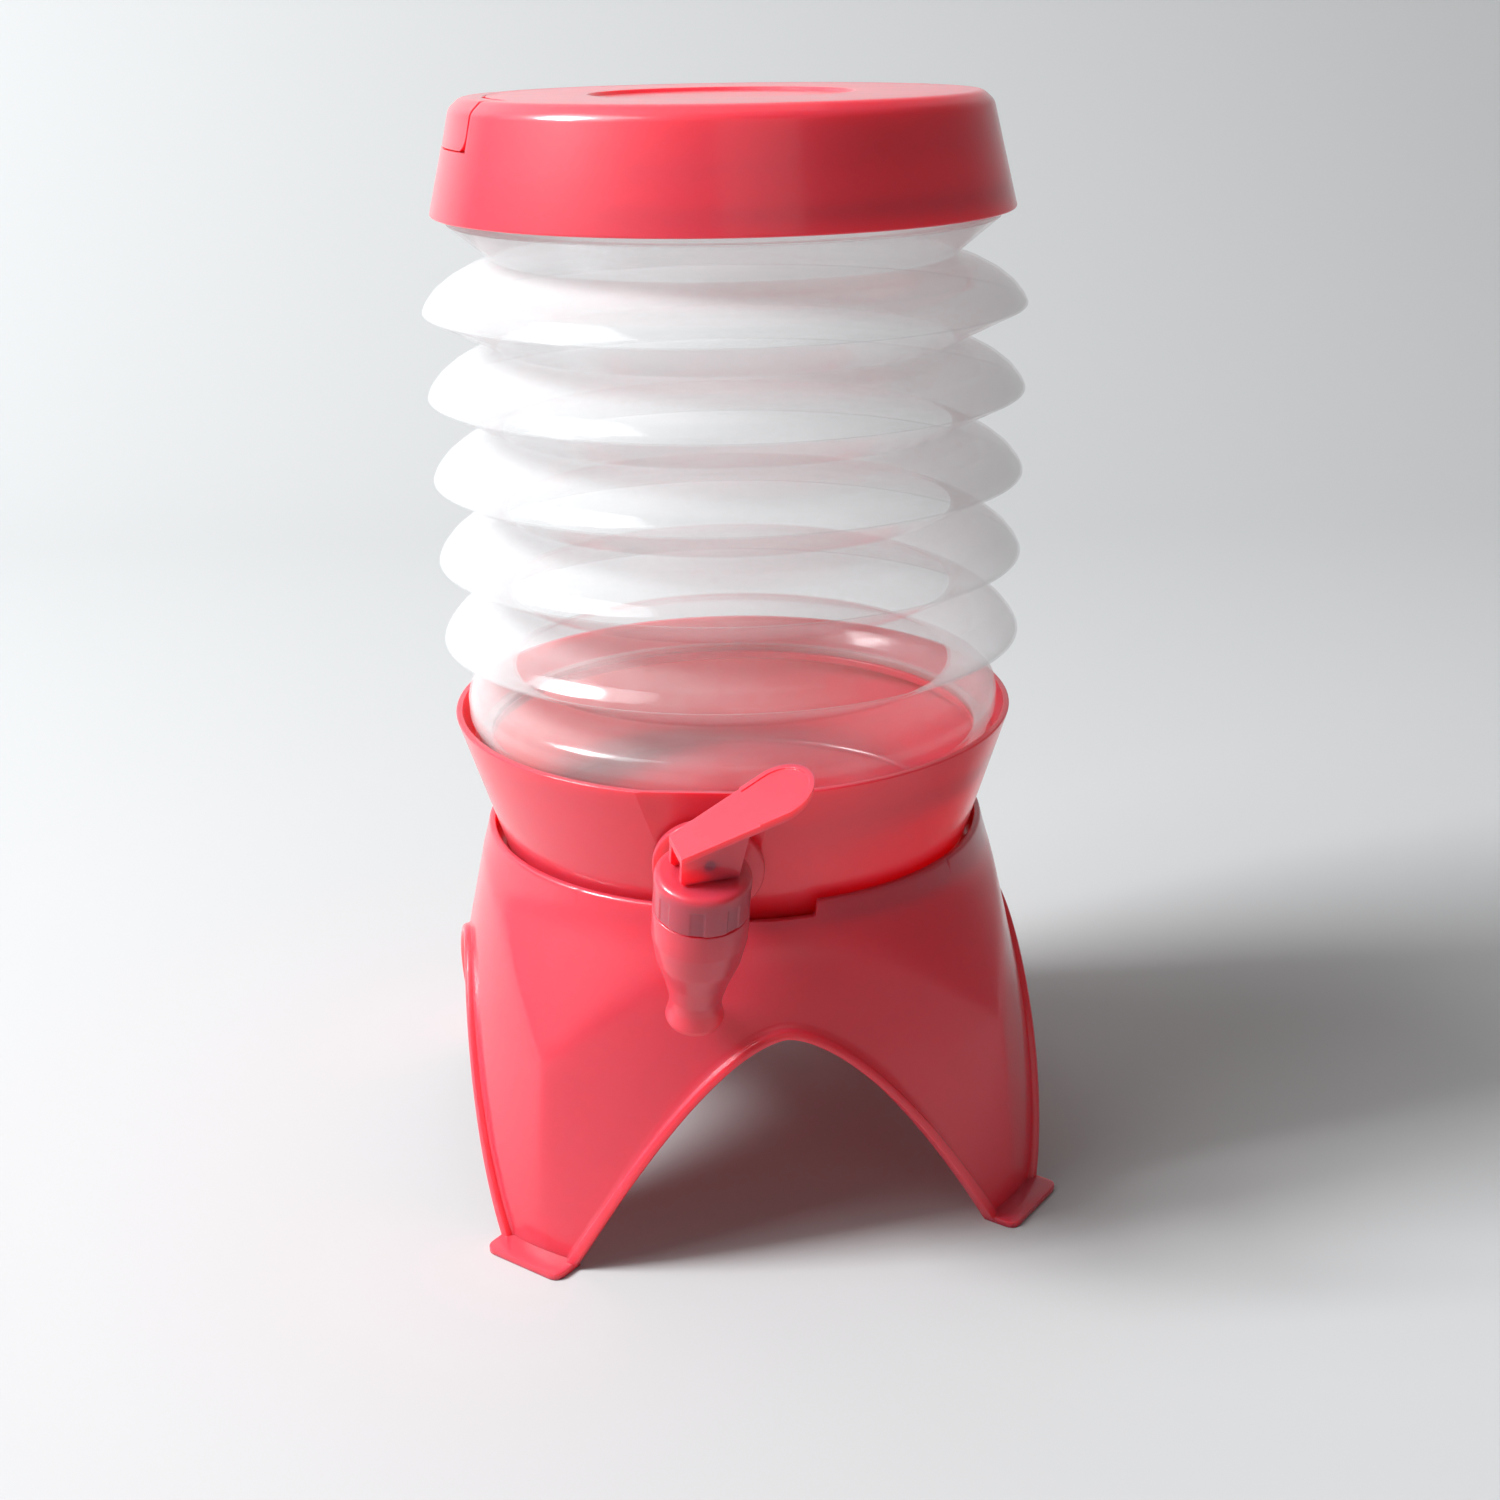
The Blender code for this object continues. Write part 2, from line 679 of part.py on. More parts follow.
def basin_ring(radius, flat, level):
    """One ring with columns that follow the edges of the tap's flat, which faces -Y."""
    least = math.radians(FLAT_LEAST_HALF_ANGLE)
    half = least
    if flat is not None and flat < radius:
        half = max(least, math.acos(flat / radius))
    angles = [-half, -0.5 * half, 0.0, 0.5 * half, half]
    rest = ROUND - 6
    span = 2.0 * math.pi - 2.0 * half
    angles.extend(half + span * k / rest for k in range(1, rest))
    ring = []
    for angle in angles:
        r = radius
        if flat is not None and abs(angle) <= half + 1e-9:
            r = min(radius, flat / math.cos(angle))
        ring.append((r * math.cos(angle - math.pi / 2.0), r * math.sin(angle - math.pi / 2.0), level))
    return ring


def inner_ring(level):
    return basin_ring(basin_radius(level) - BASIN_INSET, flat_distance(level) - FLAT_INSIDE, level)


def basin_shape():
    rings = [[(0.0, 0.0, BASIN_BOTTOM)]]
    rings.append(basin_ring(basin_radius(BASIN_BOTTOM) - BASIN_CORNER, None, BASIN_BOTTOM))
    inward, upward = BASIN_CORNER_MID
    corner = BASIN_BOTTOM + upward * BASIN_CORNER
    rings.append(basin_ring(basin_radius(corner) - inward * BASIN_CORNER, None, corner))
    middle_levels = [BASIN_BOTTOM + share * BASIN_HEIGHT for share in BASIN_ROWS]
    corner_end = BASIN_BOTTOM + BASIN_CORNER_END * BASIN_CORNER
    for level in [corner_end] + middle_levels + [BASIN_TOP - BASIN_EDGE_DROP]:
        rings.append(basin_ring(basin_radius(level), flat_distance(level), level))
    rings.append(basin_ring(basin_radius(BASIN_TOP) - BASIN_EDGE,
                            flat_distance(BASIN_TOP) - BASIN_EDGE, BASIN_TOP))
    inner_top = basin_radius(BASIN_TOP) - BASIN_INSET
    inner_flat = flat_distance(BASIN_TOP) - FLAT_INSIDE
    rings.append(basin_ring(inner_top + BASIN_INNER_EDGE, inner_flat + BASIN_INNER_EDGE, BASIN_TOP))
    for level in (BASIN_TOP - BASIN_EDGE_DROP, LEDGE_TOP):
        rings.append(inner_ring(level))
    rings.append(basin_ring(LEDGE_INNER, None, LEDGE_TOP))
    rings.append(basin_ring(LEDGE_INNER, None, LEDGE_TOP - LEDGE_THICKNESS))
    inner_floor = BASIN_BOTTOM + BASIN_FLOOR_THICKNESS
    gusset_foot = LEDGE_TOP - LEDGE_THICKNESS - LEDGE_GUSSET
    for level in [gusset_foot] + middle_levels[::-1] + [inner_floor + BASIN_CORNER]:
        rings.append(inner_ring(level))
    rings.append(basin_ring(basin_radius(inner_floor) - BASIN_INSET - BASIN_CORNER, None, inner_floor))
    rings.append([(0.0, 0.0, inner_floor)])
    return loft(rings)


# Bellows, neck, gasket

def offset_line(points, distance):
    """Points moved square to the line, to its left, with limited mitres."""
    moved = []
    for k, point in enumerate(points):
        here = np.array(point)
        before = np.array(points[k - 1]) if k else None
        after = np.array(points[k + 1]) if k + 1 < len(points) else None
        normals = []
        for start, end in ((before, here), (here, after)):
            if start is None or end is None:
                continue
            along = (end - start) / np.linalg.norm(end - start)
            normals.append(np.array((-along[1], along[0])))
        normal = sum(normals) / len(normals)
        size = np.linalg.norm(normal)
        moved.append(tuple(here + normal / size * distance / max(size, 0.55)))
    return moved


def bellows_outer():
    line = [(FOOT_OUTER, FOOT_BOTTOM + FOOT_THICKNESS),
            (SHOULDER_RADIUS, SHOULDER_LEVEL)]
    for inward, below in SHOULDER_LINE:
        line.append((RIDGE_RADIUS - inward * FOLD_DEPTH, FIRST_VALLEY - below * DOME_RISE))
    line.append((VALLEY_RADIUS, FIRST_VALLEY))
    for fold in range(FOLDS):
        ridge = FIRST_VALLEY + fold * (CONE_RISE + DOME_RISE) + CONE_RISE
        line.append((RIDGE_RADIUS, ridge))
        for inward, above in DOME_LINE:
            line.append((RIDGE_RADIUS - inward * FOLD_DEPTH, ridge + above * DOME_RISE))
        line.append((VALLEY_RADIUS, ridge + DOME_RISE))
    line.append((TOP_FOLD_RADIUS, BELLOWS_TOP))
    return line


def bellows_shape():
    outer = bellows_outer()
    inner = offset_line(outer, BELLOWS_WALL)
    inner[-1] = (TOP_FOLD_RADIUS - TOP_FOLD_STEP, BELLOWS_TOP)
    inner_foot = LEDGE_INNER + TOUCH
    inner[0] = (inner_foot, FOOT_BOTTOM + FOOT_THICKNESS)
    outline = [(FOOT_OUTER, FOOT_BOTTOM)] + outer + inner[::-1] + [(inner_foot, FOOT_BOTTOM)]
    return revolve(outline, BELLOWS_ROUND)


def neck_shape():
    inner = NECK_OUTER - NECK_WALL
    shoulder = NECK_BOTTOM + NECK_FLANGE_THICKNESS
    outline = [(inner, NECK_BOTTOM), (TOP_FOLD_RADIUS, NECK_BOTTOM), (TOP_FOLD_RADIUS, shoulder),
               (NECK_OUTER, shoulder), (NECK_OUTER, NECK_TOP), (inner, NECK_TOP)]
    return revolve(outline, ROUND)


# Lid and handle

def lid_outside():
    """Outer outline from the skirt's bottom edge to the top flat."""
    line = [(LID_SKIRT_RADIUS, LID_SKIRT_BOTTOM),
            (LID_SHOULDER_RADIUS, LID_LAND + LID_SHOULDER_RISE),
            (LID_UPPER_RADIUS, LID_TOP - LID_FILLET)]
    line.extend((LID_UPPER_RADIUS - inward, LID_TOP - below) for inward, below in LID_FILLET_STEPS)
    return line + [(LID_TOP_FLAT_RADIUS, LID_TOP)]


def lid_radius(level):
    line = lid_outside()
    for (r0, z0), (r1, z1) in zip(line, line[1:]):
        if z0 <= level <= z1:
            return r0 + (r1 - r0) * (level - z0) / (z1 - z0)
    return line[-1][0]


def lid_shape():
    line = lid_outside()
    ring_bottom = NECK_BOTTOM + NECK_FLANGE_THICKNESS + LID_RING_GAP
    ring_outer = LID_BORE + LID_WALL - TOUCH
    groove_top = LID_SKIRT_BOTTOM + SKIRT_GAP_DEPTH
    dome = GROOVE_INNER - LID_WALL
    under = LID_TOP - RECESS_DEPTH - LID_WALL
    outline = [(0.0, LID_TOP - RECESS_DEPTH), (RECESS_RADIUS, LID_TOP - RECESS_DEPTH),
               (RECESS_RADIUS + RECESS_SLOPE, LID_TOP)]
    outline.extend(reversed(line))
    outline.extend([(LID_SKIRT_RADIUS - LID_WALL, LID_SKIRT_BOTTOM),
                    (lid_radius(groove_top) - LID_WALL, groove_top),
                    (ring_outer, groove_top), (ring_outer, ring_bottom), (LID_BORE, ring_bottom),
                    (LID_BORE, LID_LAND), (dome, LID_LAND), (dome, under), (0.0, under)])
    return revolve(outline, ROUND)


def groove_tool():
    """Room for the handle: everything outside the inner wall, above the floor, behind the two ends."""
    far = LID_SKIRT_RADIUS + 10.0 * PAST
    front = -HANDLE_END_GAP
    start = math.asin(front / GROOVE_INNER)
    outline = [(far, front), (far, far), (-far, far), (-far, front)]
    for k in range(GROOVE_STEPS + 1):
        angle = math.pi - start - (math.pi - 2.0 * start) * k / GROOVE_STEPS
        outline.append((GROOVE_INNER * math.cos(angle), GROOVE_INNER * math.sin(angle)))
    return prism(outline, GROOVE_FLOOR, LID_TOP + PAST, "z")


def handle_shape():
    outline = [(HANDLE_INNER, HANDLE_BOTTOM), (lid_radius(HANDLE_BOTTOM), HANDLE_BOTTOM)]
    outline.extend(p for p in lid_outside() if p[1] > HANDLE_BOTTOM + 0.1)
    outline.append((HANDLE_INNER, LID_TOP))
    return sector(outline, 0.0, 180.0, HANDLE_STEPS)


def handle_hollow():
    inner = HANDLE_INNER + HANDLE_WALL
    low = HANDLE_BOTTOM - 0.5 * PAST
    mid = LID_TOP - LID_FILLET
    high = LID_TOP - HANDLE_WALL
    outline = [(inner, low), (lid_radius(HANDLE_BOTTOM) - HANDLE_WALL, low),
               (LID_UPPER_RADIUS - HANDLE_WALL, mid),
               (LID_UPPER_RADIUS - HANDLE_ROOF_IN, high), (inner, high)]
    return sector(outline, HANDLE_END_BLOCK, 180.0 - HANDLE_END_BLOCK, HANDLE_HOLLOW_STEPS)


def corner_tool(radius, level, lower):
    """Takes a rounded corner off both ends of the handle."""
    sign = -1.0 if lower else 1.0
    centre = level - sign * radius
    far = 0.5 * PAST
    outline = [(-far, centre), (-far, level + sign * far), (radius, level + sign * far)]
    for k in range(6):
        angle = math.radians(90.0 - 18.0 * k)
        outline.append((radius - radius * math.cos(angle), centre + sign * radius * math.sin(angle)))
    return prism(outline, -LID_SKIRT_RADIUS - PAST, LID_SKIRT_RADIUS + PAST, "x")


def across_rod(radius, low, high, segments, side):
    """Rod on the handle's pivot line, on one side of the lid."""
    turn = Matrix.Rotation(math.radians(90.0 * side), 4, "Y")
    place = Matrix.Translation((0.0, PIVOT_BACK, PIVOT_LEVEL)) @ turn
    return rod(radius, low, high, segments, place)


# Tap, in its own frame: Z along the tap, -Y away from the basin

def along_shank(shape):
    """Turns a shape about Z into one about +Y."""
    return move(shape, Matrix.Rotation(math.radians(-90.0), 4, "X"))


def chamber_radius(level):
    share = (level - SEAT_LEVEL) / (CHAMBER_TAPER_TOP - SEAT_LEVEL)
    return SEAT_RADIUS + (CHAMBER_RADIUS - SEAT_RADIUS) * share


def tap_body_shape():
    thread = COLLAR_RADIUS - COLLAR_WALL - TOUCH
    top = COLLAR_TOP - COLLAR_TOP_THICKNESS - TOUCH - BELL_RIM - TOUCH
    bottom = COLLAR_BOTTOM - RUNNING
    outline = [(SEAT_RADIUS + out, level) for out, level in reversed(SPOUT_LINE)]
    outline.extend((BODY_RADIUS - inward, level) for inward, level in reversed(BODY_LINE))
    outline.extend([(BODY_RADIUS, bottom), (thread, bottom), (thread, top), (CHAMBER_RADIUS, top),
                    (CHAMBER_RADIUS, CHAMBER_TAPER_TOP), (SEAT_RADIUS, SEAT_LEVEL),
                    (SEAT_RADIUS, SEAT_LEVEL - SEAT_LENGTH)])
    return revolve(outline, TAP_ROUND)


OUTER_WASHER_FAR = TAP_REACH - TOUCH
FLANGE_FAR = OUTER_WASHER_FAR - OUTER_WASHER_THICKNESS - TOUCH
INNER_WASHER_NEAR = TAP_REACH + FLAT_WALL + TOUCH
NUT_NEAR = INNER_WASHER_NEAR + INNER_WASHER_THICKNESS + TOUCH
SHANK_END = NUT_NEAR + NUT_THICKNESS + SHANK_PAST_NUT


def shank_shape():
    near = 0.5 * (CHAMBER_RADIUS + BODY_RADIUS)
    outline = [(0.0, near), (SHANK_RADIUS, near), (SHANK_RADIUS, SHANK_END), (0.0, SHANK_END)]
    return along_shank(revolve(outline, TAP_ROUND))


def flange_shape():
    """Round flange with its lower edge cut straight, to clear the stand's rim."""
    outline = []
    limit = math.degrees(math.asin(FLANGE_FLAT / FLANGE_RADIUS))
    for k in range(FLANGE_STEPS + 1):
        angle = math.radians(-limit + (180.0 + 2.0 * limit) * k / FLANGE_STEPS)
        outline.append((FLANGE_RADIUS * math.cos(angle), FLANGE_RADIUS * math.sin(angle)))
    return prism(outline, FLANGE_FAR - FLANGE_THICKNESS, FLANGE_FAR, "y")


def ring_shape(inner, outer, near, far, segments):
    outline = [(inner, near), (outer, near), (outer, far), (inner, far)]
    return along_shank(revolve(outline, segments))


def collar_shape():
    """Cap with shallow finger recesses round its lower part."""
    bore = COLLAR_RADIUS - COLLAR_WALL
    hole = STEM_RADIUS + RUNNING
    under = COLLAR_TOP - COLLAR_TOP_THICKNESS
    angles = []
    pitch = 360.0 / COLLAR_GRIPS
    for k in range(COLLAR_GRIPS):
        for offset, deep in ((-GRIP_HALF_ANGLE - GRIP_SIDE, 0), (-GRIP_HALF_ANGLE, 1), (0.0, 1),
                             (GRIP_HALF_ANGLE, 1), (GRIP_HALF_ANGLE + GRIP_SIDE, 0),
                             (0.5 * pitch, 0)):
            angles.append((math.radians(k * pitch + offset), deep))
    eased = 0.3 * COLLAR_FILLET
    rings = [(COLLAR_RADIUS, COLLAR_BOTTOM, 1), (COLLAR_RADIUS, GRIP_TOP, 1),
             (COLLAR_RADIUS, GRIP_TOP + GRIP_RUNOUT, 0), (COLLAR_RADIUS, COLLAR_TOP - COLLAR_FILLET, 0),
             (COLLAR_RADIUS - eased, COLLAR_TOP - eased, 0),
             (COLLAR_RADIUS - COLLAR_FILLET, COLLAR_TOP, 0), (hole, COLLAR_TOP, 0), (hole, under, 0),
             (bore, under, 0), (bore, COLLAR_BOTTOM, 0)]
    verts = []
    rows = []
    for radius, level, gripped in rings:
        rows.append(list(range(len(verts), len(verts) + len(angles))))
        for angle, deep in angles:
            r = radius - GRIP_DEPTH * deep * gripped
            verts.append((r * math.cos(angle), r * math.sin(angle), level))
    return verts, skin(rows, True)


def bell_shape():
    """Thin silicone bell from the rim clamped under the collar to the plug."""
    high = COLLAR_TOP - COLLAR_TOP_THICKNESS - TOUCH
    low = high - BELL_RIM
    rim = COLLAR_RADIUS - COLLAR_WALL - 2.0 * TOUCH
    plug = PLUG_TOP + TOUCH
    waist = BELL_WAIST_SHARE * BELL_THROAT
    foot = STEM_RADIUS + BELL_FOOT_OUT
    outline = [(rim, low), (rim, high), (BELL_THROAT, high), (BELL_THROAT, BELL_SHOULDER_LEVEL),
               (waist, BELL_WAIST_LEVEL), (foot, plug), (foot + BELL_WALL, plug),
               (waist + BELL_WALL, BELL_WAIST_LEVEL - BELL_WAIST_DROP),
               (BELL_THROAT + BELL_WALL, BELL_SHOULDER_LEVEL - BELL_SHOULDER_DROP),
               (BELL_THROAT + BELL_WALL, low)]
    return revolve(outline, TAP_ROUND)


def plug_shape():
    """Solid end of the silicone cup, resting on the seat."""
    low = SEAT_LEVEL - PLUG_NOSE
    step = SEAT_LEVEL + PLUG_STEP
    high = PLUG_TOP - PLUG_LAND
    bore = STEM_RADIUS + RUNNING
    outline = [(0.0, low), (SEAT_RADIUS - RUNNING, low), (chamber_radius(step) - RUNNING, step),
               (chamber_radius(high) - RUNNING, high), (chamber_radius(high) - RUNNING, PLUG_TOP),
               (bore, PLUG_TOP), (bore, STEM_BOTTOM - TOUCH), (0.0, STEM_BOTTOM - TOUCH)]
    return revolve(outline, TAP_ROUND)


# Lever, in its own frame: X towards the tip, Y across, Z along the tap

def lever_half_width(along):
    share = (along + LEVER_REAR) / (LEVER_TIP_CENTRE + LEVER_REAR)
    return LEVER_REAR_HALF_WIDTH + (LEVER_TIP_RADIUS - LEVER_REAR_HALF_WIDTH) * share


def paddle_outline(inset, start):
    """Plan of the paddle, drawn in by an inset."""
    outline = [(start, -lever_half_width(start) + inset)]
    for k in range(PADDLE_STEPS + 1):
        angle = math.radians(-90.0 + 180.0 * k / PADDLE_STEPS)
        radius = LEVER_TIP_RADIUS - inset
        outline.append((LEVER_TIP_CENTRE + radius * math.cos(angle), radius * math.sin(angle)))
    outline.append((start, lever_half_width(start) - inset))
    return outline


def sloped_plate(outline, low, high):
    """A plate whose faces climb towards the tip; low and high are measured at the rear edge."""
    climb = math.tan(math.radians(LEVER_SLOPE))
    verts = []
    for level in (low, high):
        verts.extend((x, y, level + climb * (x + LEVER_REAR)) for x, y in outline)
    count = len(outline)
    faces = [tuple(range(count)), tuple(range(2 * count - 1, count - 1, -1))]
    for k in range(count):
        n = (k + 1) % count
        faces.append((k, k + count, n + count, n))
    return verts, faces


def cheek_shape(side):
    climb = math.tan(math.radians(LEVER_SLOPE))
    rear_top = LEVER_TOP - 0.5 * LEVER_THICKNESS
    front_top = rear_top + climb * (CHEEK_TOP_FRONT + LEVER_REAR)
    foot = COLLAR_TOP + CHEEK_CLEAR
    rear = CHEEK_INSET - LEVER_REAR
    outer = (LEVER_REAR_HALF_WIDTH - CHEEK_INSET) * side
    inner = (LEVER_REAR_HALF_WIDTH - CHEEK_THICKNESS) * side
    outline = [(rear, foot + CHEEK_HEEL), (rear + CHEEK_HEEL, foot), (CHEEK_FOOT_FRONT, foot),
               (CHEEK_TOP_FRONT, front_top), (rear, rear_top)]
    return prism(outline, min(inner, outer), max(inner, outer), "y")


def build():
    for thing in list(bpy.data.objects):
        bpy.data.objects.remove(thing)

    red = (0.62, 0.028, 0.045)
    stand_red = principled("stand red polypropylene", red, 0.22, 0.0, 0.0)
    basin_red = principled("basin red polypropylene", red, 0.22, 0.0, 0.0)
    lid_red = principled("lid red polypropylene", red, 0.22, 0.0, 0.0)
    handle_red = principled("handle red polypropylene", red, 0.22, 0.0, 0.0)
    body_red = principled("tap body red polypropylene", red, 0.25, 0.0, 0.0)
    collar_red = principled("tap collar red polypropylene", red, 0.25, 0.0, 0.0)
    lever_red = principled("tap lever red polypropylene", red, 0.25, 0.0, 0.0)
    nut_red = principled("nut red polypropylene", red, 0.3, 0.0, 0.0)
    left_pin_red = principled("left pin red polypropylene", red, 0.3, 0.0, 0.0)
    right_pin_red = principled("right pin red polypropylene", red, 0.3, 0.0, 0.0)
    bellows_clear = principled("bellows clear polyethylene", (0.92, 0.94, 0.94), 0.12, 0.0, 0.9)
    neck_clear = principled("neck clear polyethylene", (0.92, 0.94, 0.94), 0.12, 0.0, 0.9)
    seal_silicone = principled("seal silicone", (0.72, 0.72, 0.7), 0.5, 0.0, 0.0)
    gasket_silicone = principled("gasket silicone", (0.72, 0.72, 0.7), 0.5, 0.0, 0.0)
    bell_silicone = principled("bell silicone", (0.72, 0.72, 0.7), 0.5, 0.0, 0.0)
    plug_silicone = principled("plug silicone", (0.72, 0.72, 0.7), 0.5, 0.0, 0.0)
    outer_rubber = principled("outer washer rubber", (0.03, 0.03, 0.03), 0.7, 0.0, 0.0)
    inner_rubber = principled("inner washer rubber", (0.03, 0.03, 0.03), 0.7, 0.0, 0.0)
    stem_white = principled("stem white acetal", (0.75, 0.75, 0.73), 0.35, 0.0, 0.0)
    pin_steel = principled("lever pin stainless steel", (0.55, 0.55, 0.56), 0.3, 1.0, 0.0)

    dispenser = empty("dispenser", None, (0.0, 0.0, 0.0), (0.0, 0.0, 0.0))
    origin = (0.0, 0.0, 0.0)
    reservoir = empty("reservoir", dispenser, origin, (0.0, 0.0, math.radians(RESERVOIR_TURN)))
    bail = empty("bail", reservoir, origin, (0.0, 0.0, math.radians(HANDLE_MID_ANGLE - 90.0)))
    on_flat = Vector((0.0, -flat_distance(TAP_LEVEL_ON_FLAT), TAP_LEVEL_ON_FLAT))
    tap_place = on_flat + TAP_REACH * Vector((0.0, -math.cos(TILT), -math.sin(TILT)))
    tap_turn = Matrix.Rotation(TILT, 4, "X") @ Matrix.Rotation(math.radians(TAP_LEAN), 4, "Y")
    tap = empty("tap", reservoir, tap_place, tuple(tap_turn.to_euler()))
    upright = Matrix.Rotation(-math.radians(TAP_LEAN), 4, "Y")
    lever_frame = empty("lever_frame", tap, origin, (0.0, 0.0, math.radians(LEVER_TURN)))

    # Stand
    node = finish("stand", *stand_shape(), stand_red, dispenser, origin, 0)
    combine(node, [shelf_shape()] + [tab_shape(45.0 + 90.0 * k) for k in range(4)], "UNION")
    sharpen(node, 32.0)

    # Basin and its seal
    node = finish("basin", *basin_shape(), basin_red, reservoir, origin, 0)
    to_tap = Matrix.Translation(tap_place) @ tap_turn
    clear = SHANK_RADIUS + TOUCH
    hole = ring_shape(0.0, clear, TAP_REACH - 3.0 * PAST, TAP_REACH + 4.0 * PAST, TAP_ROUND)
    combine(node, [move(hole, to_tap)], "DIFFERENCE")
    sharpen(node, 30.0)
    seal_in = LEDGE_INNER + TOUCH
    seal = revolve([(seal_in, SEAL_BOTTOM), (FOOT_OUTER, SEAL_BOTTOM), (FOOT_OUTER, SEAL_TOP),
                    (seal_in, SEAL_TOP)], BELLOWS_ROUND)
    finish("basin_seal", *seal, seal_silicone, reservoir, origin, 30.0)

    # Bellows and neck
    finish("bellows", *bellows_shape(), bellows_clear, reservoir, origin, 40.0)
    node = finish("bellows_neck", *neck_shape(), neck_clear, reservoir, origin, 0)
    rib_level = NECK_TOP - THREAD_BELOW_TOP
    rib = helix_rib(NECK_OUTER - THREAD_SINK, NECK_OUTER + NECK_THREAD_OUT, rib_level, 0.0,
                    THREAD_TURN, THREAD_HALF_HEIGHT, THREAD_STEPS)
    combine(node, [rib], "UNION")
    sharpen(node, 30.0)
    gasket_out = NECK_OUTER + GASKET_OUT
    gasket_in = gasket_out - GASKET_WIDTH
    gasket = revolve([(gasket_in, GASKET_BOTTOM), (gasket_out, GASKET_BOTTOM),
                      (gasket_out, GASKET_TOP), (gasket_in, GASKET_TOP)], BELLOWS_ROUND)
    finish("lid_gasket", *gasket, gasket_silicone, reservoir, origin, 30.0)

    # Lid
    node = finish("lid", *lid_shape(), lid_red, bail, origin, 0)
    lid_rib = helix_rib(LID_BORE + THREAD_SINK, LID_BORE - LID_THREAD_IN,
                        rib_level - 0.5 * THREAD_PITCH, 90.0 - HANDLE_MID_ANGLE, THREAD_TURN,
                        THREAD_HALF_HEIGHT, THREAD_STEPS)
    boss_outer = GROOVE_INNER - BOSS_SETBACK
    bosses = [across_rod(HANDLE_PIN_RADIUS + BOSS_WALL, boss_outer - BOSS_LENGTH, boss_outer,
                         SMALL_ROUND, side) for side in (1, -1)]
    combine(node, [lid_rib] + bosses, "UNION")
    cavity_in = boss_outer - BOSS_LENGTH
    cavity_roof = LID_TOP - CAVITY_ROOF
    cavity = sector([(cavity_in, LID_LAND - 0.5 * PAST), (LID_FRONT_CAVITY, LID_LAND - 0.5 * PAST),
                     (LID_FRONT_CAVITY, cavity_roof), (cavity_in, cavity_roof)],
                    180.0 + CAVITY_END_ANGLE, 360.0 - CAVITY_END_ANGLE, CAVITY_STEPS)
    pin_holes = [across_rod(HANDLE_PIN_RADIUS + TOUCH, HANDLE_PIN_INNER - TOUCH,
                            HANDLE_PIN_OUTER + TOUCH, SMALL_ROUND, side) for side in (1, -1)]
    combine(node, [groove_tool(), cavity] + pin_holes, "DIFFERENCE")
    sharpen(node, 30.0)

    # Handle on its two pins
    pivot = (0.0, PIVOT_BACK, PIVOT_LEVEL)
    node = finish("carry_handle", *handle_shape(), handle_red, bail, pivot, 0)
    combine(node, [handle_hollow(), corner_tool(HANDLE_LOWER_CORNER, HANDLE_BOTTOM, True),
                   corner_tool(HANDLE_UPPER_CORNER, LID_TOP, False)] + pin_holes, "DIFFERENCE")
    sharpen(node, 30.0)
    for name, side, look in (("handle_pin_left", -1, left_pin_red),
                             ("handle_pin_right", 1, right_pin_red)):
        pin = across_rod(HANDLE_PIN_RADIUS, HANDLE_PIN_INNER, HANDLE_PIN_OUTER, SMALL_ROUND, side)
        finish(name, *pin, look, bail, pivot, 30.0)

    # Tap body with its shank
    node = finish("tap_body", *tap_body_shape(), body_red, tap, origin, 0)
    combine(node, [shank_shape(), move(flange_shape(), upright)], "UNION")
    bore = ring_shape(0.0, SHANK_BORE, 0.5 * CHAMBER_RADIUS, SHANK_END + PAST, SMALL_ROUND)
    combine(node, [bore], "DIFFERENCE")
    sharpen(node, 30.0)
    washer = ring_shape(clear, OUTER_WASHER_RADIUS, OUTER_WASHER_FAR - OUTER_WASHER_THICKNESS,
                        OUTER_WASHER_FAR, TAP_ROUND)
    finish("tap_outer_washer", *washer, outer_rubber, tap, origin, 30.0)
    washer = ring_shape(clear, INNER_WASHER_RADIUS, INNER_WASHER_NEAR,
                        INNER_WASHER_NEAR + INNER_WASHER_THICKNESS, TAP_ROUND)
    finish("tap_inner_washer", *washer, inner_rubber, tap, origin, 30.0)
    nut_far = NUT_NEAR + NUT_THICKNESS
    nut = move(ring_shape(0.0, NUT_RADIUS, NUT_NEAR, nut_far, 6), upright)
    node = finish("tap_nut", *nut, nut_red, tap, origin, 0)
    combine(node, [ring_shape(0.0, clear, NUT_NEAR - PAST, nut_far + PAST, TAP_ROUND)], "DIFFERENCE")
    sharpen(node, 30.0)

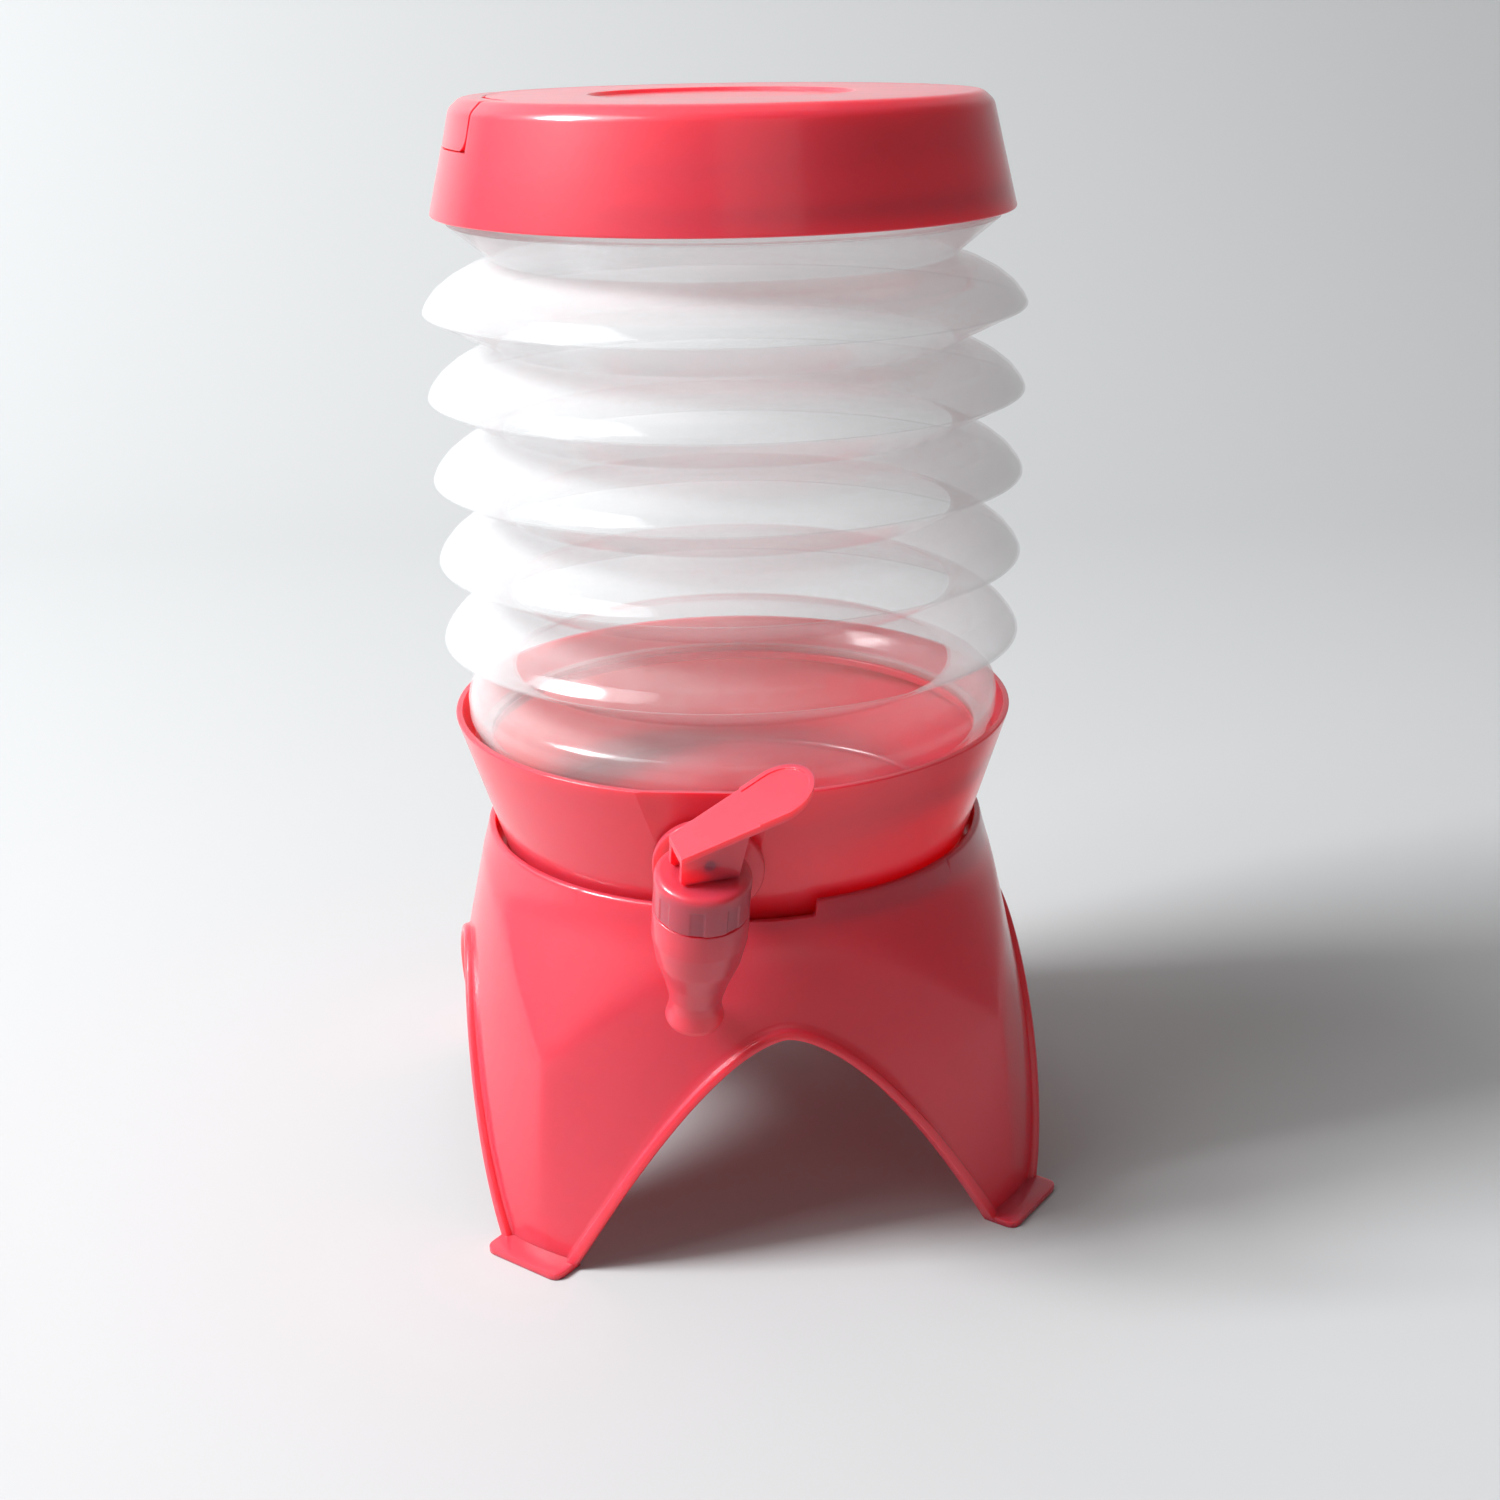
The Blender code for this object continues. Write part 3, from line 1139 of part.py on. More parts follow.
    # Tap collar, silicone cup, stem
    finish("tap_collar", *collar_shape(), collar_red, tap, origin, 30.0)
    finish("tap_seat_bell", *bell_shape(), bell_silicone, tap, origin, 30.0)
    finish("tap_seat_plug", *plug_shape(), plug_silicone, tap, origin, 30.0)
    to_pin = Matrix.Translation((0.0, 0.0, PIN_LEVEL))
    pin_line = to_pin @ Matrix.Rotation(math.radians(90.0), 4, "X")
    pin_reach = LEVER_REAR_HALF_WIDTH - PIN_SHORT
    pin_hole = rod(PIN_RADIUS + TOUCH, -pin_reach - PAST, pin_reach + PAST, SMALL_ROUND, pin_line)
    stem = revolve([(0.0, STEM_BOTTOM), (STEM_RADIUS, STEM_BOTTOM),
                    (STEM_RADIUS, STEM_TOP - STEM_CHAMFER), (STEM_RADIUS - STEM_CHAMFER, STEM_TOP),
                    (0.0, STEM_TOP)], SMALL_ROUND)
    node = finish("tap_stem", *stem, stem_white, lever_frame, origin, 0)
    combine(node, [pin_hole], "DIFFERENCE")
    sharpen(node, 30.0)
    pin = rod(PIN_RADIUS, -pin_reach, pin_reach, SMALL_ROUND, pin_line)
    finish("tap_lever_pin", *pin, pin_steel, lever_frame, (0.0, 0.0, PIN_LEVEL), 30.0)

    # Lever
    plate = sloped_plate(paddle_outline(0.0, -LEVER_REAR), LEVER_TOP - LEVER_THICKNESS,
                         LEVER_TOP + LEVER_BEAD)
    node = finish("tap_lever", *plate, lever_red, lever_frame, (0.0, 0.0, PIN_LEVEL), 0)
    above = LEVER_TOP + LEVER_BEAD + PAST
    wide = LEVER_TIP_RADIUS + PAST
    far = CHEEK_TOP_FRONT + 0.5 * PAST
    back = -LEVER_REAR - PAST
    inside_bead = [(back, -wide), (far, -wide)] + paddle_outline(LEVER_BEAD_WIDTH, far)
    inside_bead += [(far, wide), (back, wide)]
    combine(node, [sloped_plate(inside_bead, LEVER_TOP, above)], "DIFFERENCE")
    combine(node, [cheek_shape(1), cheek_shape(-1)], "UNION")
    combine(node, [pin_hole], "DIFFERENCE")
    sharpen(node, 30.0)

    # Put the middle of the footprint at the origin
    bpy.context.view_layer.update()
    corners = [thing.matrix_world @ v.co for thing in bpy.data.objects
               if thing.type == "MESH" for v in thing.data.vertices]
    low = Vector(min(c[k] for c in corners) for k in range(3))
    high = Vector(max(c[k] for c in corners) for k in range(3))
    dispenser.location = (-0.5 * (low.x + high.x), -0.5 * (low.y + high.y), 0.0)
    bpy.context.view_layer.update()


build()
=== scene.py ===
"""Looks of a folding drink dispenser: red stand, basin, lid and lever tap round a clear bellows."""
import math

import bmesh
import bpy
from bpy.props import FloatProperty, FloatVectorProperty, IntProperty, PointerProperty
from mathutils import Matrix, Vector


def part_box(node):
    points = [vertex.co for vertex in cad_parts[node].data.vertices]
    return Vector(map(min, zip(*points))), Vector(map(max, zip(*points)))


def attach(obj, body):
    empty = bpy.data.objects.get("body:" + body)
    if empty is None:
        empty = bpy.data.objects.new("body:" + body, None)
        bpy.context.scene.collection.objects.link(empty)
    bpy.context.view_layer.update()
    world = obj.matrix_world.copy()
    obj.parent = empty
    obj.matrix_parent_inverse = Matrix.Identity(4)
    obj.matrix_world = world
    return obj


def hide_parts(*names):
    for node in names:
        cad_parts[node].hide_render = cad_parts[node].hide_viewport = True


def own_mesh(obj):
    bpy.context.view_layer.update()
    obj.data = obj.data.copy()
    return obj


bl_info = {
    "name": "Folding drink dispenser",
    "version": (1, 0, 0),
    "blender": (4, 5, 0),
    "location": "View3D > Sidebar > Dispenser",
    "description": "Builds the visible pieces of a folding drink dispenser round its CAD frame",
    "category": "Add Mesh",
}

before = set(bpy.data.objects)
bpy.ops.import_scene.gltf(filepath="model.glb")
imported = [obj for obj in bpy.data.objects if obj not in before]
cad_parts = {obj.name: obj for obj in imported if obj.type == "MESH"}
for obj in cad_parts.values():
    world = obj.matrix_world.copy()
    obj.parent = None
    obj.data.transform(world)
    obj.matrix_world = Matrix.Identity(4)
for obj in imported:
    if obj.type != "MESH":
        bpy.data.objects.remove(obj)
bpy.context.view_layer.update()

MM = 0.001
PHOTO_WIDTH = 1500
FOCAL_PIXELS = 1982.0


def linear(code):
    """Turns an sRGB hex colour into the linear values that Blender works in."""
    channels = [int(code[k:k + 2], 16) / 255.0 for k in (1, 3, 5)]
    return tuple(c / 12.92 if c <= 0.04045 else ((c + 0.055) / 1.055) ** 2.4 for c in channels)


def length(name, text, value):
    return FloatProperty(name=name, description=text, default=value * MM, min=0.0, unit="LENGTH",
                         precision=4)


def colour(name, text, code):
    return FloatVectorProperty(name=name, description=text, default=linear(code), subtype="COLOR",
                               size=3, min=0.0, max=1.0)


class DispenserSizes(bpy.types.PropertyGroup):
    """Sizes that a user may change."""
    lip_width: length("Arch lip width", "Width of the bead along each arch of the stand", 3.3)
    lip_out: length("Arch lip depth", "How far the bead stands out of the stand", 2.5)
    rim_radius: length("Stand rim radius", "Outer radius of the stand's round rim", 88.6)
    ridge_radius: length("Ridge radius", "Radius of the bellows at its ridges", 99.9)
    valley_radius: length("Valley radius", "Radius of the bellows at its valleys", 76.0)
    bellows_wall: length("Bellows wall", "Thickness of the clear wall", 0.8)
    basin_rim: length("Basin rim radius", "Outer radius of the basin's rim", 98.0)
    lid_skirt: length("Lid skirt radius", "Outer radius of the lid at its lower edge", 95.4)
    recess_radius: length("Lid recess radius", "Radius of the plain round recess in the lid", 42.0)
    collar_radius: length("Tap collar radius", "Outer radius of the tap's cap", 15.4)
    edge_round: length("Edge rounding", "Rounding of the moulded edges", 0.4)
    columns: IntProperty(name="Columns", description="Faces round a turned piece", default=144,
                         min=48, max=288)


class DispenserColours(bpy.types.PropertyGroup):
    """Colours of the plastics and of the stage."""
    red: colour("Red", "Dyed polypropylene of the mouldings", "#DC3044")
    clear: colour("Clear", "Polyethylene of the bellows", "#F4F6F6")
    silicone: colour("Silicone", "Seals and the tap's cup", "#C9C9C4")
    rubber: colour("Rubber", "Washers of the tap", "#232323")
    acetal: colour("Acetal", "Stem of the tap", "#DEDEDA")
    steel: colour("Steel", "Pin of the lever", "#B4B4B6")
    floor: colour("Floor", "Floor and backdrop", "#B8B8B8")


# Places of the pieces, all in millimetres in their own frames

def middle_of(node):
    low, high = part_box(node)
    return 0.5 * (Vector(low) + Vector(high))


AXIS_PLACE = Matrix.Translation((middle_of("stand").x, middle_of("stand").y, 0.0))
SCALE = Matrix.Scale(MM, 4)
RESERVOIR_TURN = math.radians(-14.5)
BAIL_TURN = math.radians(35.0)
FLAT_TILT = math.radians(14.5)
TAP_LEAN = math.radians(5.5)
LEVER_TURN = math.radians(24.0)
TAP_CENTRE = Vector((0.0, -117.720, 133.989))

STAND_PLACE = AXIS_PLACE @ SCALE
RESERVOIR_PLACE = AXIS_PLACE @ Matrix.Rotation(RESERVOIR_TURN, 4, "Z") @ SCALE
BAIL_PLACE = RESERVOIR_PLACE @ Matrix.Rotation(BAIL_TURN, 4, "Z")
FLAT_PLACE = RESERVOIR_PLACE @ Matrix.Translation(TAP_CENTRE) @ Matrix.Rotation(FLAT_TILT, 4, "X")
TAP_PLACE = FLAT_PLACE @ Matrix.Rotation(TAP_LEAN, 4, "Y")
LEVER_PLACE = TAP_PLACE @ Matrix.Rotation(LEVER_TURN, 4, "Z")

# Levels of the stack, in millimetres
RIM_TOP = 125.0
BASIN_BOTTOM = 117.0
BASIN_TOP = 167.5
FOOT_BOTTOM = 158.8
FIRST_VALLEY = 182.7
CONE_RISE = 11.7
DOME_RISE = 16.0
FOLDS = 5
BELLOWS_TOP = 333.0
NECK_TOP = 351.7
LID_SKIRT_BOTTOM = 335.7
LID_LAND = 354.5
LID_TOP = 371.5
GROOVE_FLOOR = 356.7
HANDLE_BOTTOM = 357.0
PIVOT_BACK = 6.0
PIVOT_LEVEL = 366.5


# Mesh helpers

def smoothstep(t):
    t = min(1.0, max(0.0, t))
    return t * t * (3.0 - 2.0 * t)


def rounded(corners, steps=4):
    """Outline with its corners rounded: each corner is (across, up, radius)."""
    points = []
    count = len(corners)
    for k, (across, up, radius) in enumerate(corners):
        here = Vector((across, up))
        if radius <= 0.0:
            points.append((across, up))
            continue
        before = Vector(corners[k - 1][:2]) - here
        after = Vector(corners[(k + 1) % count][:2]) - here
        half = 0.5 * before.angle(after)
        reach = min(radius / math.tan(half), 0.49 * before.length, 0.49 * after.length)
        start = here + before.normalized() * reach
        end = here + after.normalized() * reach
        for j in range(steps + 1):
            t = j / steps
            point = (1.0 - t) ** 2 * start + 2.0 * t * (1.0 - t) * here + t ** 2 * end
            points.append((point.x, point.y))
    return points


def spun(points, steps, turn=360.0, start=0.0):
    """Turned mesh of a closed outline of (radius, height)."""
    bm = bmesh.new()
    verts = [bm.verts.new((r, 0.0, z)) for r, z in points]
    edges = []
    for a, b in zip(verts, verts[1:] + verts[:1]):
        if a.co.x > 1e-6 or b.co.x > 1e-6:
            edges.append(bm.edges.new((a, b)))
    if start:
        from_start = Matrix.Rotation(math.radians(start), 3, "Z")
        bmesh.ops.rotate(bm, verts=verts, cent=(0, 0, 0), matrix=from_start)
    full = turn == 360.0
    bmesh.ops.spin(bm, geom=verts + edges, cent=(0, 0, 0), axis=(0, 0, 1), dvec=(0, 0, 0),
                   angle=math.radians(turn), steps=steps, use_merge=full, use_duplicate=False)
    bmesh.ops.remove_doubles(bm, verts=bm.verts, dist=0.004)
    if not full:
        bmesh.ops.holes_fill(bm, edges=[e for e in bm.edges if e.is_boundary], sides=0)
    bmesh.ops.recalc_face_normals(bm, faces=bm.faces)
    return bm


def plate(points, low, high, bevel=0.0):
    """Flat outline raised to a plate, with its upper and lower edges rounded."""
    bm = bmesh.new()
    face = bm.faces.new([bm.verts.new((x, y, low)) for x, y in points])
    raised = bmesh.ops.extrude_face_region(bm, geom=[face])
    verts = [g for g in raised["geom"] if isinstance(g, bmesh.types.BMVert)]
    bmesh.ops.translate(bm, verts=verts, vec=(0.0, 0.0, high - low))
    bmesh.ops.recalc_face_normals(bm, faces=bm.faces)
    if bevel:
        rim = [e for e in bm.edges if abs(e.verts[0].co.z - e.verts[1].co.z) < 1e-6]
        bmesh.ops.bevel(bm, geom=rim, offset=bevel, offset_type="OFFSET", segments=2, profile=0.5,
                        affect="EDGES", clamp_overlap=True, material=-1)
    return bm


def rod(radius, low, high, steps=32):
    """Closed cylinder about Z."""
    bm = bmesh.new()
    bmesh.ops.create_cone(bm, cap_ends=True, segments=steps, radius1=radius, radius2=radius,
                          depth=high - low)
    bmesh.ops.translate(bm, verts=bm.verts, vec=(0.0, 0.0, 0.5 * (low + high)))
    return bm


def placed(bm, matrix):
    """Moves a mesh, and turns its faces round again if the matrix mirrors it."""
    bmesh.ops.transform(bm, matrix=matrix, verts=bm.verts)
    if matrix.determinant() < 0.0:
        bmesh.ops.reverse_faces(bm, faces=bm.faces)
    return bm


# Stands an outline of (along X, up) on its edge, so that its plate runs along Y
ON_EDGE_ALONG_Y = Matrix(((1, 0, 0, 0), (0, 0, 1, 0), (0, 1, 0, 0), (0, 0, 0, 1)))
# Stands an outline of (along Y, up) on its edge, so that its plate runs along X
ON_EDGE_ALONG_X = Matrix(((0, 0, 1, 0), (1, 0, 0, 0), (0, 1, 0, 0), (0, 0, 0, 1)))


def cut_off(bm, at, facing):
    """Takes away what lies past a plane and closes the cut."""
    geometry = list(bm.verts) + list(bm.edges) + list(bm.faces)
    bmesh.ops.bisect_plane(bm, geom=geometry, plane_co=at, plane_no=facing, clear_outer=True, dist=0.0005)
    bmesh.ops.holes_fill(bm, edges=[e for e in bm.edges if e.is_boundary], sides=0)
    bmesh.ops.recalc_face_normals(bm, faces=bm.faces)
    return bm


def loose(name, bm):
    """An object in millimetres that isn't finished yet."""
    mesh = bpy.data.meshes.new(name)
    bm.to_mesh(mesh)
    bm.free()
    piece = bpy.data.objects.new(name, mesh)
    bpy.context.scene.collection.objects.link(piece)
    return piece


def carve(piece, tools, operation="DIFFERENCE"):
    """Cuts or adds closed meshes, one by one."""
    for tool_mesh in tools:
        tool = loose("tool", tool_mesh)
        step = piece.modifiers.new("step", "BOOLEAN")
        step.operation = operation
        step.solver = "EXACT"
        step.object = tool
        bpy.context.view_layer.update()
        graph = bpy.context.evaluated_depsgraph_get()
        mesh = bpy.data.meshes.new_from_object(piece.evaluated_get(graph))
        piece.modifiers.clear()
        piece.data = mesh
        bpy.data.objects.remove(tool)
    return piece


def finish_piece(piece, name, place, body, node, material, edge=None, sharp=35.0):
    """Puts a piece in its place, rounds its edges and ties it to the frame."""
    piece.name = name
    piece.data.name = name
    piece.data.transform(place)
    piece.data.materials.clear()
    piece.data.materials.append(material)
    piece.data.shade_smooth()
    piece.data.set_sharp_from_angle(angle=math.radians(sharp))
    if edge:
        bevel = piece.modifiers.new("moulded edges", "BEVEL")
        bevel.width = edge
        bevel.segments = 2
        bevel.limit_method = "ANGLE"
        bevel.angle_limit = math.radians(sharp)
        bevel.harden_normals = True
    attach(piece, body)
    if node:
        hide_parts(node)
    return piece


# Materials

def add(tree, kind, settings=None, values=None, links=None):
    """Adds a node with its settings, its plain values and what feeds its sockets."""
    node = tree.nodes.new(kind)
    for key, value in (settings or {}).items():
        setattr(node, key, value)
    for key, value in (values or {}).items():
        node.inputs[key].default_value = value
    for key, socket in (links or {}).items():
        tree.links.new(socket, node.inputs[key])
    return node


def blank(name):
    material = bpy.data.materials.get(name)
    if material:
        return material, None
    material = bpy.data.materials.new(name)
    material.use_nodes = True
    material.node_tree.nodes.clear()
    return material, material.node_tree


def colours():
    return bpy.context.scene.dispenser_colours


def sizes():
    return bpy.context.scene.dispenser_sizes


def opaque(rgb):
    return (rgb[0], rgb[1], rgb[2], 1.0)


def moulded_polypropylene():
    """Dyed polypropylene from a polished mould: a soft glow under a clear gloss, with flow ripples."""
    material, tree = blank("red polypropylene, glossy moulded")
    if tree is None:
        return material
    base = tuple(colours().red)
    where = add(tree, "ShaderNodeTexCoord")
    # The dye is never quite even: patches about 40 mm across, barely lighter or darker
    patches = add(tree, "ShaderNodeTexNoise",
                  values={"Scale": 1.0 / (40.0 * MM), "Detail": 3.0, "Roughness": 0.5},
                  links={"Vector": where.outputs["Object"]})
    deep = tuple(c * 0.93 for c in base)
    pale = (base[0] * 1.03, base[1] * 1.15, base[2] * 1.15)
    tint = add(tree, "ShaderNodeMix", {"data_type": "RGBA"}, links={"Factor": patches.outputs["Fac"]})
    tint.inputs["A"].default_value = opaque(deep)
    tint.inputs["B"].default_value = opaque(pale)
    # Handling dulls the gloss a little in streaks about 12 mm across
    wear = add(tree, "ShaderNodeTexNoise", values={"Scale": 1.0 / (12.0 * MM), "Detail": 4.0},
               links={"Vector": where.outputs["Object"]})
    gloss = add(tree, "ShaderNodeMapRange", values={"To Min": 0.11, "To Max": 0.20},
                links={"Value": wear.outputs["Fac"]})
    # Flow ripples about 18 mm apart bend the reflections slightly
    ripple = add(tree, "ShaderNodeTexNoise", values={"Scale": 1.0 / (18.0 * MM), "Detail": 1.0},
                 links={"Vector": where.outputs["Object"]})
    bump = add(tree, "ShaderNodeBump", values={"Strength": 0.12, "Distance": 0.0005},
               links={"Height": ripple.outputs["Fac"]})
    # Red light runs about 14 mm through this plastic and the rest a tenth of that, so thin walls glow
    # red. The broad, weak coat is the haze on the gloss, which makes the sides towards a window pinker
    shader = add(tree, "ShaderNodeBsdfPrincipled",
                 values={"IOR": 1.49, "Specular IOR Level": 0.38, "Subsurface Weight": 1.0,
                         "Subsurface Radius": (1.0, 0.10, 0.10), "Subsurface Scale": 0.014,
                         "Coat Weight": 0.75, "Coat Roughness": 0.54, "Coat IOR": 1.5},
                 links={"Base Color": tint.outputs["Result"], "Roughness": gloss.outputs["Result"],
                        "Normal": bump.outputs["Normal"]})
    add(tree, "ShaderNodeOutputMaterial", links={"Surface": shader.outputs["BSDF"]})
    return material


def blown_polyethylene():
    """Clear blown polyethylene: see-through, faintly milky, with soft window reflections on its waves."""
    material, tree = blank("clear polyethylene, blow moulded")
    if tree is None:
        return material
    where = add(tree, "ShaderNodeTexCoord")
    # Blown walls vary in thickness over about 25 mm, which shows as wavering reflections
    waver = add(tree, "ShaderNodeTexNoise", values={"Scale": 1.0 / (25.0 * MM), "Detail": 2.0},
                links={"Vector": where.outputs["Object"]})
    bump = add(tree, "ShaderNodeBump", values={"Strength": 0.15, "Distance": 0.0006},
               links={"Height": waver.outputs["Fac"]})
    # Fine draw marks and rubbed spots about 6 mm across make the milkiness uneven
    rubbed = add(tree, "ShaderNodeTexNoise", values={"Scale": 1.0 / (6.0 * MM), "Detail": 3.0},
                 links={"Vector": where.outputs["Object"]})
    gloss = add(tree, "ShaderNodeMapRange", values={"To Min": 0.10, "To Max": 0.20},
                links={"Value": rubbed.outputs["Fac"]})
    # Most of what the skin gives back is its mirror image, so its index is high and its share small
    skin = add(tree, "ShaderNodeBsdfPrincipled",
               values={"Base Color": opaque(tuple(colours().clear)), "IOR": 2.3},
               links={"Roughness": gloss.outputs["Result"], "Normal": bump.outputs["Normal"]})
    # Seen edge-on, more plastic lies in the way and more light is mirrored
    edge = add(tree, "ShaderNodeLayerWeight", values={"Blend": 0.5})
    steep = add(tree, "ShaderNodeMath", {"operation": "POWER"}, values={1: 2.4},
                links={0: edge.outputs["Facing"]})
    milk = add(tree, "ShaderNodeMapRange", values={"To Min": 0.10, "To Max": 0.15},
               links={"Value": rubbed.outputs["Fac"]})
    share = add(tree, "ShaderNodeMapRange", values={"To Max": 0.50},
                links={"Value": steep.outputs["Value"], "To Min": milk.outputs["Result"]})
    through = add(tree, "ShaderNodeBsdfTransparent", values={"Color": opaque((0.99, 0.99, 0.99))})
    wall = add(tree, "ShaderNodeMixShader",
               links={"Fac": share.outputs["Result"], 1: through.outputs["BSDF"], 2: skin.outputs["BSDF"]})
    add(tree, "ShaderNodeOutputMaterial", links={"Surface": wall.outputs["Shader"]})
    return material


def plain_moulding(name, rgb, roughness, grain_mm, metallic=0.0):
    """Small hidden pieces: their own colour with a fine moulded or drawn grain."""
    material, tree = blank(name)
    if tree is None:
        return material
    where = add(tree, "ShaderNodeTexCoord")
    grain = add(tree, "ShaderNodeTexNoise", values={"Scale": 1.0 / (grain_mm * MM), "Detail": 3.0},
                links={"Vector": where.outputs["Object"]})
    tint = add(tree, "ShaderNodeMix", {"data_type": "RGBA"}, links={"Factor": grain.outputs["Fac"]})
    tint.inputs["A"].default_value = opaque(tuple(c * 0.9 for c in rgb))
    tint.inputs["B"].default_value = opaque(rgb)
    rough = add(tree, "ShaderNodeMapRange", values={"To Min": roughness - 0.05, "To Max": roughness + 0.05},
                links={"Value": grain.outputs["Fac"]})
    shader = add(tree, "ShaderNodeBsdfPrincipled",
                 values={"Metallic": metallic},
                 links={"Base Color": tint.outputs["Result"], "Roughness": rough.outputs["Result"]})
    add(tree, "ShaderNodeOutputMaterial", links={"Surface": shader.outputs["BSDF"]})
    return material


# Stand surface: the CAD's law with crisper creases, in millimetres

STAND_WALL = 2.2
CONE_RADIUS = 88.0
CONE_LEVEL = 121.8
CONE_SLOPE = 0.4615
FACE_START = RIM_TOP + 3.0
FACE_SLOPE = 0.2266
FACE_CENTRE_LOW = 6.0
FACE_CENTRE_RISE = 46.0
FACE_CENTRE_TOP = 70.0
CREASE_SHARPNESS = 300.0
CREASE_UNIT = 100.0
RIM_BLEND = 20.0
RIM_SLOPE = 0.30
QUARTER = math.pi / 4.0


def face_radius(phi, level):
    """Distance of one bowed face from the stand's axis."""
    reach = CONE_RADIUS + FACE_SLOPE * (FACE_START - level)
    behind = FACE_CENTRE_LOW + FACE_CENTRE_RISE * min(1.0, level / FACE_CENTRE_TOP)
    circle = reach + behind
    return -behind * math.cos(phi) + math.sqrt(circle ** 2 - (behind * math.sin(phi)) ** 2)


def stand_radius(phi, level):
    """Outer radius of the stand: bowed faces and a cone that meet in creases, under a round rim."""
    folded = (phi + QUARTER) % (math.pi / 2.0) - QUARTER
    cone = CONE_RADIUS + CONE_SLOPE * (CONE_LEVEL - level)
    terms = (cone, face_radius(folded, level), face_radius(math.pi / 2.0 - abs(folded), level))
    joined = sum((t / CREASE_UNIT) ** -CREASE_SHARPNESS for t in terms)
    creased = joined ** (-1.0 / CREASE_SHARPNESS) * CREASE_UNIT
    rim = smoothstep((level - (RIM_TOP - RIM_BLEND)) / RIM_BLEND)
    return (1.0 - rim) * creased + rim * (sizes().rim_radius / MM + RIM_SLOPE * (RIM_TOP - level))


def stand_inset(phi, level):
    """How far the inner side lies inside the outer one, so that the wall keeps its thickness."""
    step = 0.002
    radius = stand_radius(phi, level)
    turn = (stand_radius(phi + step, level) - stand_radius(phi - step, level)) / (2.0 * step * radius)
    rise = stand_radius(phi, level + 0.5) - stand_radius(phi, level - 0.5)
    return STAND_WALL * math.sqrt(1.0 + turn ** 2 + rise ** 2)


def angle_at(across, level):
    """Angle at which the stand's surface is this far from its face's middle, found step by step."""
    corner = math.sin(QUARTER)
    phi = math.asin(max(-corner, min(corner, across / CONE_RADIUS)))
    for _ in range(24):
        ratio = across / stand_radius(phi, level)
        phi = 0.5 * phi + 0.5 * math.asin(max(-corner, min(corner, ratio)))
    return phi


ARCH_HEIGHT = 82.0
ARCH_HALF = 71.9
ARCH_POWER = 1.62


def arch_share(across, level):
    """How far along the line from the floor's middle to a place the arch's edge lies."""
    low, high = 0.0, 1.0
    for _ in range(40):
        mid = 0.5 * (low + high)
        edge = ARCH_HEIGHT * (1.0 - (abs(mid * across) / ARCH_HALF) ** ARCH_POWER)
        low, high = (mid, high) if edge > mid * level else (low, mid)
    return 0.5 * (low + high)


CORNER_COLUMNS = 36
RIM_COLUMNS = 32
FACE_ROWS = 24
# Rows close to the outer end, where the rim is rounded
LAST_ROWS = [0.978, 0.99, 0.997, 1.0]
RIM_ROUND = 0.6
RIM_ROUND_DEPTH = 0.5


def stand_columns():
    """Outer ends of one face's columns: up a corner, round the rim and down the other corner."""
    corner = [RIM_TOP * k / CORNER_COLUMNS for k in range(CORNER_COLUMNS)]
    columns = [(-QUARTER, z) for z in corner]
    columns += [(QUARTER * k / RIM_COLUMNS, RIM_TOP) for k in range(-RIM_COLUMNS, RIM_COLUMNS + 1)]
    return columns + [(QUARTER, z) for z in reversed(corner)]


def stand_rows():
    """Bead section as (distance from the arch's edge, height of the bead)."""
    out = sizes().lip_out / MM
    wide = sizes().lip_width / MM
    return [(0.0, 0.62 * out), (0.10 * wide, 0.88 * out), (0.30 * wide, out), (0.62 * wide, out),
            (0.84 * wide, 0.90 * out), (0.95 * wide, 0.62 * out), (wide, 0.18 * out), (1.2 * wide, 0.0)]


def stand_skin(inside):
    """One side of the stand's wall: four grids laid on the four faces and joined at the corners."""
    bm = bmesh.new()
    band = stand_rows()
    shares = [k / FACE_ROWS for k in range(1, FACE_ROWS)] + LAST_ROWS
    top_row = len(band) + len(shares) - 1
    columns = stand_columns()
    for face in range(4):
        middle = math.radians(-90.0 + 90.0 * face)
        grid = bmesh.ops.create_grid(bm, x_segments=len(columns) - 1, y_segments=top_row, size=1.0)
        laid = []
        for phi_out, top in columns:
            across = stand_radius(phi_out, top) * math.sin(phi_out)
            share = arch_share(across, top)
            edge = Vector((share * across, share * top))
            steep = ARCH_POWER * (abs(edge.x) / ARCH_HALF) ** (ARCH_POWER - 1.0) * ARCH_HEIGHT / ARCH_HALF
            lean = math.copysign(steep, edge.x) if abs(edge.x) > 1e-9 else 0.0
            normal = Vector((lean, 1.0)).normalized()
            if top == 0.0:
                normal = Vector((math.copysign(1.0, edge.x), 0.0))
            points = [(edge + normal * w, bump, None) for w, bump in band]
            start = points[-1][0]
            end = Vector((across, top))
            for part in shares:
                points.append((start + (end - start) * part, 0.0, phi_out if part == 1.0 else None))
            laid.append((points, top))
        for vert in grid["verts"]:
            column = round(0.5 * (vert.co.x + 1.0) * (len(columns) - 1))
            row = round(0.5 * (vert.co.y + 1.0) * top_row)
            points, top = laid[column]
            spot, bump, known = points[row]
            phi = angle_at(spot.x, spot.y) if known is None else known
            fillet = 0.0
            if top == RIM_TOP:
                fillet = RIM_ROUND_DEPTH * max(0.0, 1.0 - (top - spot.y) / RIM_ROUND) ** 2
            r = stand_radius(phi, spot.y)
            r = r - stand_inset(phi, spot.y) + fillet if inside else r + bump - fillet
            vert.co = (r * math.cos(middle + phi), r * math.sin(middle + phi), spot.y)
    bmesh.ops.remove_doubles(bm, verts=bm.verts, dist=0.02)
    return bm


